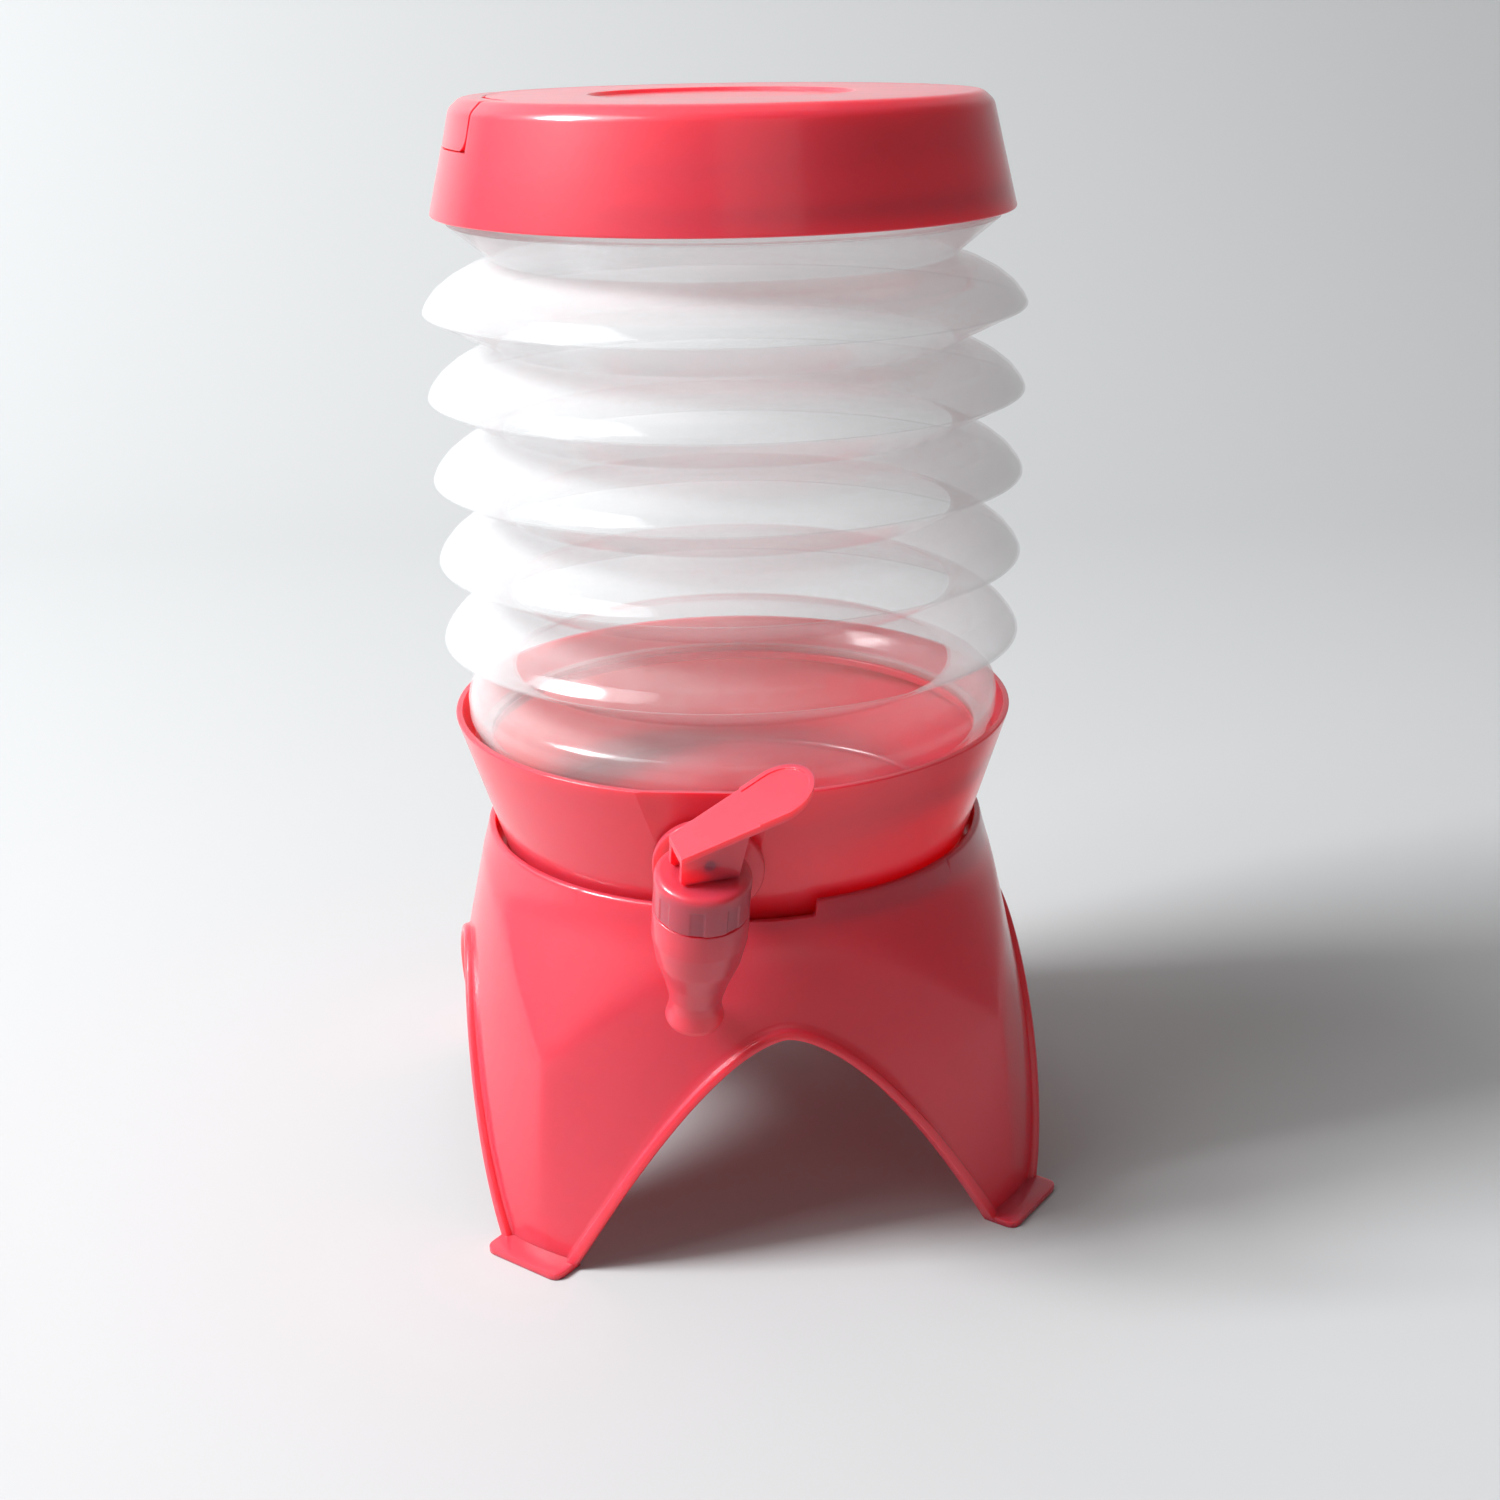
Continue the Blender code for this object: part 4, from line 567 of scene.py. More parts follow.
def join_skins(outer, inner):
    """Puts both sides of the wall in one mesh and closes the rim, the arches and the feet."""
    scrap = bpy.data.meshes.new("scrap")
    inner.to_mesh(scrap)
    first = len(outer.verts)
    outer.from_mesh(scrap)
    inner.free()
    outer.verts.ensure_lookup_table()
    bpy.data.meshes.remove(scrap)
    open_edges = [e for e in outer.edges if e.is_boundary]
    high = RIM_TOP - 0.01
    rim = [e for e in open_edges if min(v.co.z for v in e.verts) > high]
    foot = [e for e in open_edges if min(v.co.z for v in e.verts) <= high]
    for loop in (rim, foot):
        outside = [e for e in loop if e.verts[0].index < first]
        inside = [e for e in loop if e.verts[0].index >= first]
        bmesh.ops.bridge_loops(outer, edges=outside + inside)
    bmesh.ops.recalc_face_normals(outer, faces=outer.faces)
    return outer


SHELF_BORE = 60.0
SHELF_SKIRT = 62.2
SHELF_SKIRT_BOTTOM = 110.2
SHELF_BOTTOM = 114.2
SHELF_TOP = 116.7
SHELF_EDGE = 89.0


def shelf():
    """Ring that the basin stands on; its outer edge is drawn out into the wall."""
    corners = [(SHELF_BORE, SHELF_SKIRT_BOTTOM, 0.3), (SHELF_SKIRT, SHELF_SKIRT_BOTTOM, 0.3),
               (SHELF_SKIRT, SHELF_BOTTOM, 0.5), (SHELF_EDGE, SHELF_BOTTOM, 0.0),
               (SHELF_EDGE, SHELF_TOP, 0.0), (SHELF_BORE, SHELF_TOP, 0.4)]
    bm = spun(rounded(corners, 2), 144)
    for vert in bm.verts:
        if vert.co.xy.length > SHELF_EDGE - 1.0:
            angle = math.atan2(vert.co.y, vert.co.x) + math.pi / 2.0
            reach = stand_radius(angle, vert.co.z) - 0.5 * stand_inset(angle, vert.co.z)
            vert.co.xy = vert.co.xy.normalized() * reach
    return bm


NOTCH_DEPTH = 5.0
NOTCH_TOP_HALF = 13.4
NOTCH_FLOOR_HALF = 11.7
NOTCH_CORNER = 1.4
NOTCH_FROM = -98.0
NOTCH_TO = -80.0


def notch_tool():
    """Takes the shallow dip out of the front rim, under the tap's flange."""
    low = RIM_TOP - NOTCH_DEPTH
    high = RIM_TOP + 3.0
    corners = [(-NOTCH_TOP_HALF, high, 0.0), (-NOTCH_FLOOR_HALF, low, NOTCH_CORNER),
               (NOTCH_FLOOR_HALF, low, NOTCH_CORNER), (NOTCH_TOP_HALF, high, 0.0)]
    return placed(plate(rounded(corners), NOTCH_FROM, NOTCH_TO), ON_EDGE_ALONG_Y)


TAB_FROM = 115.6
TAB_TO = 127.7
TAB_HALF_WIDTH = 16.0
TAB_THICKNESS = 2.5
TAB_CORNER = 4.0


def foot_tab(degrees):
    """Flat tab at a leg's foot, which runs out along the corner's direction."""
    corners = [(TAB_FROM, -TAB_HALF_WIDTH, 0.0), (TAB_TO, -TAB_HALF_WIDTH, TAB_CORNER),
               (TAB_TO, TAB_HALF_WIDTH, TAB_CORNER), (TAB_FROM, TAB_HALF_WIDTH, 0.0)]
    bm = plate(rounded(corners, 6), 0.0, TAB_THICKNESS, 0.35)
    return placed(bm, Matrix.Rotation(math.radians(degrees), 4, "Z"))


# Operators

class DISPENSER_OT_stand(bpy.types.Operator):
    """Builds the four-legged stand with its arches, beads, shelf and foot tabs"""
    bl_idname = "dispenser.stand"
    bl_label = "Stand"

    def execute(self, context):
        piece = loose("stand_shell", join_skins(stand_skin(False), stand_skin(True)))
        carve(piece, [notch_tool()])
        carve(piece, [shelf()] + [foot_tab(45.0 + 90.0 * k) for k in range(4)], "UNION")
        finish_piece(piece, "stand_shell", STAND_PLACE, "stand", "stand",
                     moulded_polypropylene(), sharp=38.0)
        return {"FINISHED"}


BASIN_SLOPE = 0.3106
BASIN_WALL = 2.31
BASIN_FLOOR = BASIN_BOTTOM + 2.5
BASIN_CORNER = 3.0
LEDGE_TOP = BASIN_TOP - 11.5
LEDGE_BORE = 85.5
LEDGE_THICKNESS = 2.5
LEDGE_GUSSET = 2.0
MOUTH_FLARE = 1.2
FLAT_DISTANCE = 95.4
FLAT_WALL = 1.86
SHANK_HOLE = 6.2


def basin_radius(level):
    """Outer radius of the tapered bowl."""
    return sizes().basin_rim / MM - BASIN_SLOPE * (BASIN_TOP - level)


def halved(bm, distance):
    """Cuts a body off at the slanted plane of the tap's flat, which faces -Y, and closes it."""
    facing = Vector((0.0, -math.cos(FLAT_TILT), -math.sin(FLAT_TILT)))
    return cut_off(bm, Vector((0.0, -distance, BASIN_TOP)), facing)


class DISPENSER_OT_basin(bpy.types.Operator):
    """Builds the tapered basin with its slanted flat for the tap and its inner ledge"""
    bl_idname = "dispenser.basin"
    bl_label = "Basin"

    def execute(self, context):
        steps = sizes().columns
        outer = rounded([(0.0, BASIN_BOTTOM, 0.0), (basin_radius(BASIN_BOTTOM), BASIN_BOTTOM, BASIN_CORNER),
                         (basin_radius(BASIN_TOP), BASIN_TOP, 0.7), (0.0, BASIN_TOP, 0.0)], 20)
        under = LEDGE_TOP - LEDGE_THICKNESS
        gusset = under - LEDGE_GUSSET
        mouth = basin_radius(BASIN_TOP) - BASIN_WALL
        inner = rounded([(0.0, BASIN_FLOOR, 0.0),
                         (basin_radius(BASIN_FLOOR) - BASIN_WALL, BASIN_FLOOR, BASIN_CORNER),
                         (basin_radius(gusset) - BASIN_WALL, gusset, 0.8), (LEDGE_BORE, under, 0.4),
                         (LEDGE_BORE, LEDGE_TOP, 0.4),
                         (basin_radius(LEDGE_TOP) - BASIN_WALL, LEDGE_TOP, 0.4),
                         (mouth, BASIN_TOP, 0.0), (mouth + MOUTH_FLARE, BASIN_TOP + 2.0, 0.0),
                         (0.0, BASIN_TOP + 2.0, 0.0)], 16)
        piece = loose("basin_shell", halved(spun(outer, steps), FLAT_DISTANCE))
        lying = Matrix.Rotation(FLAT_TILT - math.pi / 2.0, 4, "X")
        hole = placed(rod(SHANK_HOLE, 20.0, 45.0, 48), Matrix.Translation(TAP_CENTRE) @ lying)
        carve(piece, [halved(spun(inner, steps), FLAT_DISTANCE - FLAT_WALL), hole])
        finish_piece(piece, "basin_shell", RESERVOIR_PLACE, "reservoir", "basin",
                     moulded_polypropylene(), edge=0.9 * MM, sharp=6.5)
        return {"FINISHED"}


# Foot and shoulder of the bellows, and the shares of a fold's depth and rise that shape its domes
FOOT_RADIUS = 90.2
FOOT_BORE = 85.8
FOOT_TOP = 161.0
SHOULDER_RADIUS = 92.9
SHOULDER_LEVEL = 166.3
SHOULDER_LINE = ((0.28, 0.47), (0.50, 0.27), (0.76, 0.105))
DOME_LINE = ((0.05, 0.16), (0.17, 0.38), (0.37, 0.61), (0.64, 0.82))
TOP_RADIUS = 90.3


def bellows_line():
    """Outer line of the bellows from its foot up, as corners with their rounding."""
    ridge = sizes().ridge_radius / MM
    valley = sizes().valley_radius / MM
    depth = ridge - valley
    line = [(FOOT_RADIUS, FOOT_TOP, 0.5), (SHOULDER_RADIUS, SHOULDER_LEVEL, 2.5)]
    for drop, rise in SHOULDER_LINE:
        line.append((ridge - drop * depth, FIRST_VALLEY - rise * DOME_RISE, 5.0))
    line.append((valley, FIRST_VALLEY, 1.0))
    for fold in range(FOLDS):
        top = FIRST_VALLEY + fold * (CONE_RISE + DOME_RISE) + CONE_RISE
        line.append((ridge, top, 0.45))
        for drop, rise in DOME_LINE:
            line.append((ridge - drop * depth, top + rise * DOME_RISE, 4.0))
        line.append((valley, top + DOME_RISE, 1.0))
    line.append((TOP_RADIUS, BELLOWS_TOP, 0.0))
    return line


def shifted(points, distance):
    """Points moved square to their line, to its left."""
    moved = []
    for k, point in enumerate(points):
        here = Vector(point)
        normals = []
        if k:
            along = (here - Vector(points[k - 1])).normalized()
            normals.append(Vector((-along.y, along.x)))
        if k + 1 < len(points):
            along = (Vector(points[k + 1]) - here).normalized()
            normals.append(Vector((-along.y, along.x)))
        normal = sum(normals, Vector((0.0, 0.0))) / len(normals)
        moved.append(here + normal.normalized() * distance / max(normal.length, 0.6))
    return [(p.x, p.y) for p in moved]


class DISPENSER_OT_bellows(bpy.types.Operator):
    """Builds the clear folding wall, which flattens towards its foot"""
    bl_idname = "dispenser.bellows"
    bl_label = "Bellows"

    def execute(self, context):
        wall = sizes().bellows_wall / MM
        # The first and last corners only give the line its directions, and are dropped again
        corners = [(88.0, 159.0, 0.0)] + bellows_line() + [(TOP_RADIUS, 340.0, 0.0)]
        outer = rounded(corners, 2)[1:-1]
        inner = shifted(outer, wall)
        inner[-1] = (outer[-1][0] - 2.0 * wall, BELLOWS_TOP)
        foot_inside = [(FOOT_BORE, FOOT_TOP), (FOOT_BORE, FOOT_BOTTOM)]
        outline = [(FOOT_RADIUS, FOOT_BOTTOM)] + outer + list(reversed(inner[3:])) + foot_inside
        piece = loose("bellows_skin", spun(outline, sizes().columns))
        finish_piece(piece, "bellows_skin", RESERVOIR_PLACE, "reservoir", "bellows",
                     blown_polyethylene(), sharp=50.0)
        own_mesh(piece)
        return {"FINISHED"}


THREAD_PITCH = 8.0
THREAD_TURN = 240.0
THREAD_STEPS = 60
THREAD_HALF_ROOT = 1.4
THREAD_HALF_CREST = 0.6


def thread_rib(inner, outer, level, start):
    """Thread rib: a small section spun up along its helix."""
    bm = bmesh.new()
    section = ((inner, -THREAD_HALF_ROOT), (outer, -THREAD_HALF_CREST), (outer, THREAD_HALF_CREST),
               (inner, THREAD_HALF_ROOT))
    verts = [bm.verts.new((r, 0.0, level + z)) for r, z in section]
    face = bm.faces.new(verts)
    from_start = Matrix.Rotation(math.radians(start), 3, "Z")
    bmesh.ops.rotate(bm, verts=verts, cent=(0, 0, 0), matrix=from_start)
    rise = THREAD_PITCH * THREAD_TURN / 360.0 / THREAD_STEPS
    bmesh.ops.spin(bm, geom=[face], cent=(0, 0, 0), axis=(0, 0, 1), dvec=(0, 0, rise),
                   angle=math.radians(THREAD_TURN), steps=THREAD_STEPS, use_merge=False,
                   use_duplicate=False)
    bmesh.ops.recalc_face_normals(bm, faces=bm.faces)
    return bm


NECK_BORE = 83.8
NECK_RADIUS = 86.0
NECK_FLANGE_RADIUS = 90.4
NECK_FLANGE_BOTTOM = 333.3
NECK_FLANGE_TOP = 335.3
NECK_THREAD_ROOT = 85.2
NECK_THREAD_CREST = 87.6
NECK_THREAD_LEVEL = 343.2


class DISPENSER_OT_neck(bpy.types.Operator):
    """Builds the clear threaded neck on top of the bellows"""
    bl_idname = "dispenser.neck"
    bl_label = "Neck"

    def execute(self, context):
        corners = [(NECK_BORE, NECK_FLANGE_BOTTOM, 0.3), (NECK_FLANGE_RADIUS, NECK_FLANGE_BOTTOM, 0.5),
                   (NECK_FLANGE_RADIUS, NECK_FLANGE_TOP, 0.5), (NECK_RADIUS, NECK_FLANGE_TOP, 0.8),
                   (NECK_RADIUS, NECK_TOP, 0.5), (NECK_BORE, NECK_TOP, 0.5)]
        piece = loose("neck_shell", spun(rounded(corners, 2), sizes().columns))
        rib = thread_rib(NECK_THREAD_ROOT, NECK_THREAD_CREST, NECK_THREAD_LEVEL, 0.0)
        carve(piece, [rib], "UNION")
        finish_piece(piece, "neck_shell", RESERVOIR_PLACE, "neck", "bellows_neck",
                     blown_polyethylene())
        return {"FINISHED"}


LID_SHOULDER_RADIUS = 90.5
LID_UPPER_RADIUS = 87.2
LID_FLAT_RADIUS = 83.4
LID_BORE = 88.1
LID_THREAD_RELIEF = 90.0
LID_RELIEF_TOP = 343.2
LID_RELIEF_BOTTOM = 337.5
LID_LAND_BORE = 73.0
LID_ROOF = LID_TOP - 3.5
RECESS_DEPTH = 1.3
LID_THREAD_ROOT = 88.9
LID_THREAD_CREST = 86.5
LID_THREAD_LEVEL = 339.2
GROOVE_WALL = 75.2
GROOVE_FRONT = -1.3
HOLLOW_FROM = 70.2
HOLLOW_TO = 81.5
PIVOT_HOLE = 1.9
BOSS_RADIUS = 4.0
BOSS_END = 74.4


def lid_corners():
    """Outer line of the lid from its skirt's edge to the flat top."""
    skirt = sizes().lid_skirt / MM
    return [(skirt, LID_SKIRT_BOTTOM, 0.6), (LID_SHOULDER_RADIUS, LID_LAND + 0.5, 8.0),
            (LID_UPPER_RADIUS, LID_TOP - 3.2, 5.0), (LID_FLAT_RADIUS, LID_TOP, 4.0)]


def lid_tools():
    """Room for the handle and for the front half's hollow, and the two blind pin holes."""
    start = math.asin(GROOVE_FRONT / GROOVE_WALL)
    past = 120.0
    outline = [(past, GROOVE_FRONT), (past, past), (-past, past), (-past, GROOVE_FRONT)]
    for k in range(97):
        angle = math.pi - start - (math.pi - 2.0 * start) * k / 96.0
        outline.append((GROOVE_WALL * math.cos(angle), GROOVE_WALL * math.sin(angle)))
    groove = plate(outline, GROOVE_FLOOR, LID_TOP + 8.0)
    low = LID_LAND - 1.0
    high = LID_TOP - 2.5
    hollow = spun([(HOLLOW_FROM, low), (HOLLOW_TO, low), (HOLLOW_TO, high), (HOLLOW_FROM, high)],
                  70, 174.0, 183.0)
    return [groove, hollow] + pin_holes()


def across(bm, side):
    """Lays a rod along Z on the handle's pivot line, on one side."""
    lying = Matrix.Rotation(side * math.pi / 2.0, 4, "Y")
    return placed(bm, Matrix.Translation((0.0, PIVOT_BACK, PIVOT_LEVEL)) @ lying)


def pin_holes():
    """Blind holes for the handle's pins, one on each side."""
    return [across(rod(PIVOT_HOLE, 72.4, 83.3, 24), side) for side in (1, -1)]


class DISPENSER_OT_lid(bpy.types.Operator):
    """Builds the screw lid with its groove for the handle and its bare round recess"""
    bl_idname = "dispenser.lid"
    bl_label = "Lid"

    def execute(self, context):
        recess = sizes().recess_radius / MM
        sunk = LID_TOP - RECESS_DEPTH
        top = [(0.0, sunk, 0.0), (recess, sunk, 0.7), (recess + 1.0, LID_TOP, 0.6)]
        below = [(93.2, LID_SKIRT_BOTTOM, 0.4), (91.2, LID_RELIEF_TOP, 0.4),
                 (LID_THREAD_RELIEF, LID_RELIEF_TOP, 0.3), (LID_THREAD_RELIEF, LID_RELIEF_BOTTOM, 0.4),
                 (LID_BORE, LID_RELIEF_BOTTOM, 0.4), (LID_BORE, LID_LAND, 0.4),
                 (LID_LAND_BORE, LID_LAND, 0.8), (LID_LAND_BORE, LID_ROOF, 2.0), (0.0, LID_ROOF, 0.0)]
        piece = loose("lid_shell", spun(rounded(top + lid_corners()[::-1] + below, 5), sizes().columns))
        turned_back = -math.degrees(BAIL_TURN)
        added = [thread_rib(LID_THREAD_ROOT, LID_THREAD_CREST, LID_THREAD_LEVEL, turned_back)]
        added += [across(rod(BOSS_RADIUS, HOLLOW_FROM, BOSS_END, 32), side) for side in (1, -1)]
        carve(piece, added, "UNION")
        carve(piece, lid_tools())
        finish_piece(piece, "lid_shell", BAIL_PLACE, "lid", "lid", moulded_polypropylene(),
                     edge=sizes().edge_round, sharp=30.0)
        return {"FINISHED"}


HANDLE_BORE = 76.2
HANDLE_FOOT_RADIUS = 89.8


class DISPENSER_OT_handle(bpy.types.Operator):
    """Builds the half-ring carry handle, hollow from below, with rounded ends"""
    bl_idname = "dispenser.handle"
    bl_label = "Carry handle"

    def execute(self, context):
        corners = [(HANDLE_BORE, HANDLE_BOTTOM, 0.4), (HANDLE_FOOT_RADIUS, HANDLE_BOTTOM, 0.4)]
        corners += lid_corners()[2:] + [(HANDLE_BORE, LID_TOP, 0.6)]
        piece = loose("handle_shell", spun(rounded(corners, 5), 96, 180.0))
        hollow = spun([(78.4, 355.0), (87.7, 355.0), (85.2, 364.0), (82.6, 369.3), (78.4, 369.3)],
                      84, 162.0, 9.0)
        tools = [hollow] + pin_holes()
        for radius, level, sign in ((5.0, HANDLE_BOTTOM, -1.0), (2.0, LID_TOP, 1.0)):
            centre = level - sign * radius
            outline = [(-1.0, centre), (-1.0, level + sign), (radius, level + sign)]
            for k in range(9):
                angle = math.radians(90.0 - 11.25 * k)
                along = radius - radius * math.cos(angle)
                outline.append((along, centre + sign * radius * math.sin(angle)))
            tools.append(placed(plate(outline, -120.0, 120.0), ON_EDGE_ALONG_X))
        carve(piece, tools)
        finish_piece(piece, "handle_shell", BAIL_PLACE, "handle", "carry_handle",
                     moulded_polypropylene(), edge=sizes().edge_round, sharp=30.0)
        return {"FINISHED"}


# Tap, from its own centre: up is along the spout's axis, and +Y is along the shank
SPOUT_BOTTOM = -40.0
SEAT_BORE = 6.5
SEAT_LEVEL = -22.0
CHAMBER_BORE = 11.3
CHAMBER_FOOT = -8.0
CHAMBER_TOP = 14.9
BULB_RADIUS = 15.0
BODY_SHOULDER = 5.8
BODY_NECK_RADIUS = 13.4
SHANK_RADIUS = 5.9
SHANK_BORE = 4.0
SHANK_END = 44.9
FLANGE_RADIUS = 18.0
FLANGE_FRONT = 25.4
FLANGE_BACK = 28.4
FLANGE_CUT = -15.0
CAP_BOTTOM = 6.2
CAP_TOP = 20.0
CAP_ROOF = 17.5
CAP_BORE = 13.7
CAP_MOUTH = 3.4
CAP_INSIDE_CAD = 0.4
GRIP_COUNT = 8
GRIP_HALF_ANGLE = 7.4
GRIP_SIDE = 1.6
GRIP_DEPTH = 0.3
GRIP_TOP = 15.2


def along_shank(bm):
    """Turns a mesh about Z into one about +Y, towards the basin."""
    return placed(bm, Matrix.Rotation(-math.pi / 2.0, 4, "X"))


def tap_flange():
    """Round flange on the shank, cut straight below and upright although the tap leans."""
    outline = rounded([(0.0, FLANGE_FRONT, 0.0), (FLANGE_RADIUS, FLANGE_FRONT, 0.9),
                       (FLANGE_RADIUS, FLANGE_BACK, 0.3), (0.0, FLANGE_BACK, 0.0)], 4)
    flange = cut_off(along_shank(spun(outline, 96)), (0.0, 0.0, FLANGE_CUT), (0.0, 0.0, -1.0))
    return placed(flange, Matrix.Rotation(-TAP_LEAN, 4, "Y"))


def cap_mesh():
    """Cap with eight shallow grips round its side."""
    radius = sizes().collar_radius / MM - CAP_INSIDE_CAD
    corners = [(radius, CAP_BOTTOM, 0.4), (radius, 15.0, 0.0), (radius, CAP_TOP, 3.0),
               (CAP_MOUTH, CAP_TOP, 0.4), (CAP_MOUTH, CAP_ROOF, 0.0), (CAP_BORE, CAP_ROOF, 0.0),
               (CAP_BORE, CAP_BOTTOM, 0.3)]
    bm = spun(rounded(corners, 5), 192)
    # Two rows of edges close together, so that the grips end in a short step
    for low in (14.6, 15.4):
        geometry = list(bm.verts) + list(bm.edges) + list(bm.faces)
        bmesh.ops.bisect_plane(bm, geom=geometry, plane_co=(0, 0, low), plane_no=(0, 0, 1), dist=0.0005)
    apart = 360.0 / GRIP_COUNT
    for vert in bm.verts:
        out = vert.co.xy.length
        if out > CAP_BORE + 0.5 and vert.co.z < GRIP_TOP:
            angle = math.degrees(math.atan2(vert.co.y, vert.co.x)) % apart
            off = min(angle, apart - angle)
            deep = GRIP_DEPTH * (1.0 - smoothstep((off - GRIP_HALF_ANGLE) / GRIP_SIDE))
            vert.co.xy *= (out - deep) / out
    return bm


class DISPENSER_OT_tap(bpy.types.Operator):
    """Builds the tap's body with its shank and flange, and its gripped cap"""
    bl_idname = "dispenser.tap"
    bl_label = "Tap body and cap"

    def execute(self, context):
        outer = [(7.6, SPOUT_BOTTOM, 0.3), (9.0, SPOUT_BOTTOM, 0.5), (9.45, -38.2, 1.2), (8.4, -33.5, 4.0),
                 (8.5, -29.5, 3.0), (10.6, -21.5, 8.0), (13.4, -13.4, 10.0), (BULB_RADIUS, -4.0, 8.0),
                 (BULB_RADIUS, BODY_SHOULDER, 0.4), (BODY_NECK_RADIUS, BODY_SHOULDER, 0.0)]
        inner = [(BODY_NECK_RADIUS, CHAMBER_TOP, 0.3), (CHAMBER_BORE, CHAMBER_TOP, 0.3),
                 (CHAMBER_BORE, CHAMBER_FOOT, 1.0), (SEAT_BORE, SEAT_LEVEL, 0.5), (SEAT_BORE, -34.0, 1.0)]
        piece = loose("tap_body_shell", spun(rounded(outer + inner, 4), 96))
        shank = along_shank(rod(SHANK_RADIUS, 13.2, SHANK_END, 48))
        carve(piece, [shank, tap_flange()], "UNION")
        carve(piece, [along_shank(rod(SHANK_BORE, 5.0, 50.0, 40))])
        finish_piece(piece, "tap_body_shell", TAP_PLACE, "reservoir", "tap_body",
                     moulded_polypropylene(), edge=0.3 * MM, sharp=30.0)
        cap = loose("tap_cap_shell", cap_mesh())
        finish_piece(cap, "tap_cap_shell", TAP_PLACE, "reservoir", "tap_collar",
                     moulded_polypropylene(), sharp=32.0)
        return {"FINISHED"}


LEVER_REAR = 9.3
LEVER_REAR_HALF = 6.1
LEVER_TIP_CENTRE = 22.0
LEVER_TIP_RADIUS = 10.7
LEVER_SLOPE = math.tan(math.radians(24.5))
LEVER_TOP = 30.9
LEVER_THICKNESS = 2.5
LEVER_BEAD = 0.5
LEVER_BEAD_WIDTH = 1.6
LEVER_BEAD_FROM = 13.5
CHEEK_INNER = 4.1
CHEEK_OUTER = 5.95
CHEEK_FOOT = 20.35
CHEEK_HEEL = 1.2
CHEEK_REAR = 9.15
CHEEK_FOOT_FRONT = 9.3
CHEEK_TOP_FRONT = 12.5
PIN_LEVEL = 26.0
PIN_RADIUS = 1.5
PIN_HOLE_RADIUS = 1.8
PIN_HOLE_HALF = 5.4


def half_width(along):
    """Half the width of the lever's tapered paddle."""
    share = (along + LEVER_REAR) / (LEVER_TIP_CENTRE + LEVER_REAR)
    return LEVER_REAR_HALF + (LEVER_TIP_RADIUS - LEVER_REAR_HALF) * share


def paddle(inset, start):
    """Outline of the paddle from a place along it to its round tip."""
    radius = LEVER_TIP_RADIUS - inset
    outline = [(start, -half_width(start) + inset)]
    for k in range(25):
        angle = math.radians(-90.0 + 7.5 * k)
        outline.append((LEVER_TIP_CENTRE + radius * math.cos(angle), radius * math.sin(angle)))
    return outline + [(start, half_width(start) - inset)]


def climbing(bm):
    """Slopes a flat plate up towards the lever's tip."""
    for vert in bm.verts:
        vert.co.z += LEVER_SLOPE * (vert.co.x + LEVER_REAR)
    return bm


class DISPENSER_OT_lever(bpy.types.Operator):
    """Builds the paddle lever with its raised bead and two cheeks"""
    bl_idname = "dispenser.lever"
    bl_label = "Lever"

    def execute(self, context):
        slab = plate(paddle(0.0, -LEVER_REAR), LEVER_TOP - LEVER_THICKNESS, LEVER_TOP + LEVER_BEAD)
        piece = loose("lever_shell", climbing(slab))
        side = 13.0
        inside_bead = [(-11.3, -side), (LEVER_BEAD_FROM, -side)] + paddle(LEVER_BEAD_WIDTH, LEVER_BEAD_FROM)
        inside_bead += [(LEVER_BEAD_FROM, side), (-11.3, side)]
        carve(piece, [climbing(plate(inside_bead, LEVER_TOP, LEVER_TOP + 6.0))])
        rear_top = LEVER_TOP - 0.5 * LEVER_THICKNESS
        front_top = rear_top + LEVER_SLOPE * (CHEEK_TOP_FRONT + LEVER_REAR)
        outline = [(-CHEEK_REAR, CHEEK_FOOT + CHEEK_HEEL), (-CHEEK_REAR + CHEEK_HEEL, CHEEK_FOOT),
                   (CHEEK_FOOT_FRONT, CHEEK_FOOT), (CHEEK_TOP_FRONT, front_top), (-CHEEK_REAR, rear_top)]
        cheeks = [placed(plate(outline, low, low + CHEEK_OUTER - CHEEK_INNER), ON_EDGE_ALONG_Y)
                  for low in (CHEEK_INNER, -CHEEK_OUTER)]
        carve(piece, cheeks, "UNION")
        lying = Matrix.Translation((0.0, 0.0, PIN_LEVEL)) @ Matrix.Rotation(math.pi / 2.0, 4, "X")
        carve(piece, [placed(rod(PIN_HOLE_RADIUS, -PIN_HOLE_HALF, PIN_HOLE_HALF, 24), lying)])
        finish_piece(piece, "lever_shell", LEVER_PLACE, "lever", "tap_lever",
                     moulded_polypropylene(), edge=0.45 * MM, sharp=30.0)
        return {"FINISHED"}


def pressed_silicone():
    """Clear silicone, pressed: mostly see-through, with a soft satin skin."""
    name = "silicone, pressed"
    fresh = bpy.data.materials.get(name) is None
    material = plain_moulding(name, tuple(colours().silicone), 0.42, 1.5)
    if fresh:
        tree = material.node_tree
        skin = tree.nodes["Principled BSDF"]
        through = add(tree, "ShaderNodeBsdfTransparent", values={"Color": opaque((0.97, 0.97, 0.96))})
        wall = add(tree, "ShaderNodeMixShader", values={"Fac": 0.22},
                   links={1: through.outputs["BSDF"], 2: skin.outputs["BSDF"]})
        tree.links.new(wall.outputs["Shader"], tree.nodes["Material Output"].inputs["Surface"])
    return material


def turned(name, corners, place, body, node, material, lay=False, steps=96):
    """A small round piece from its outline, about Z or laid along the tap's shank."""
    bm = spun(rounded(corners, 3), steps)
    if lay:
        along_shank(bm)
    return finish_piece(loose(name, bm), name, place, body, node, material, sharp=40.0)


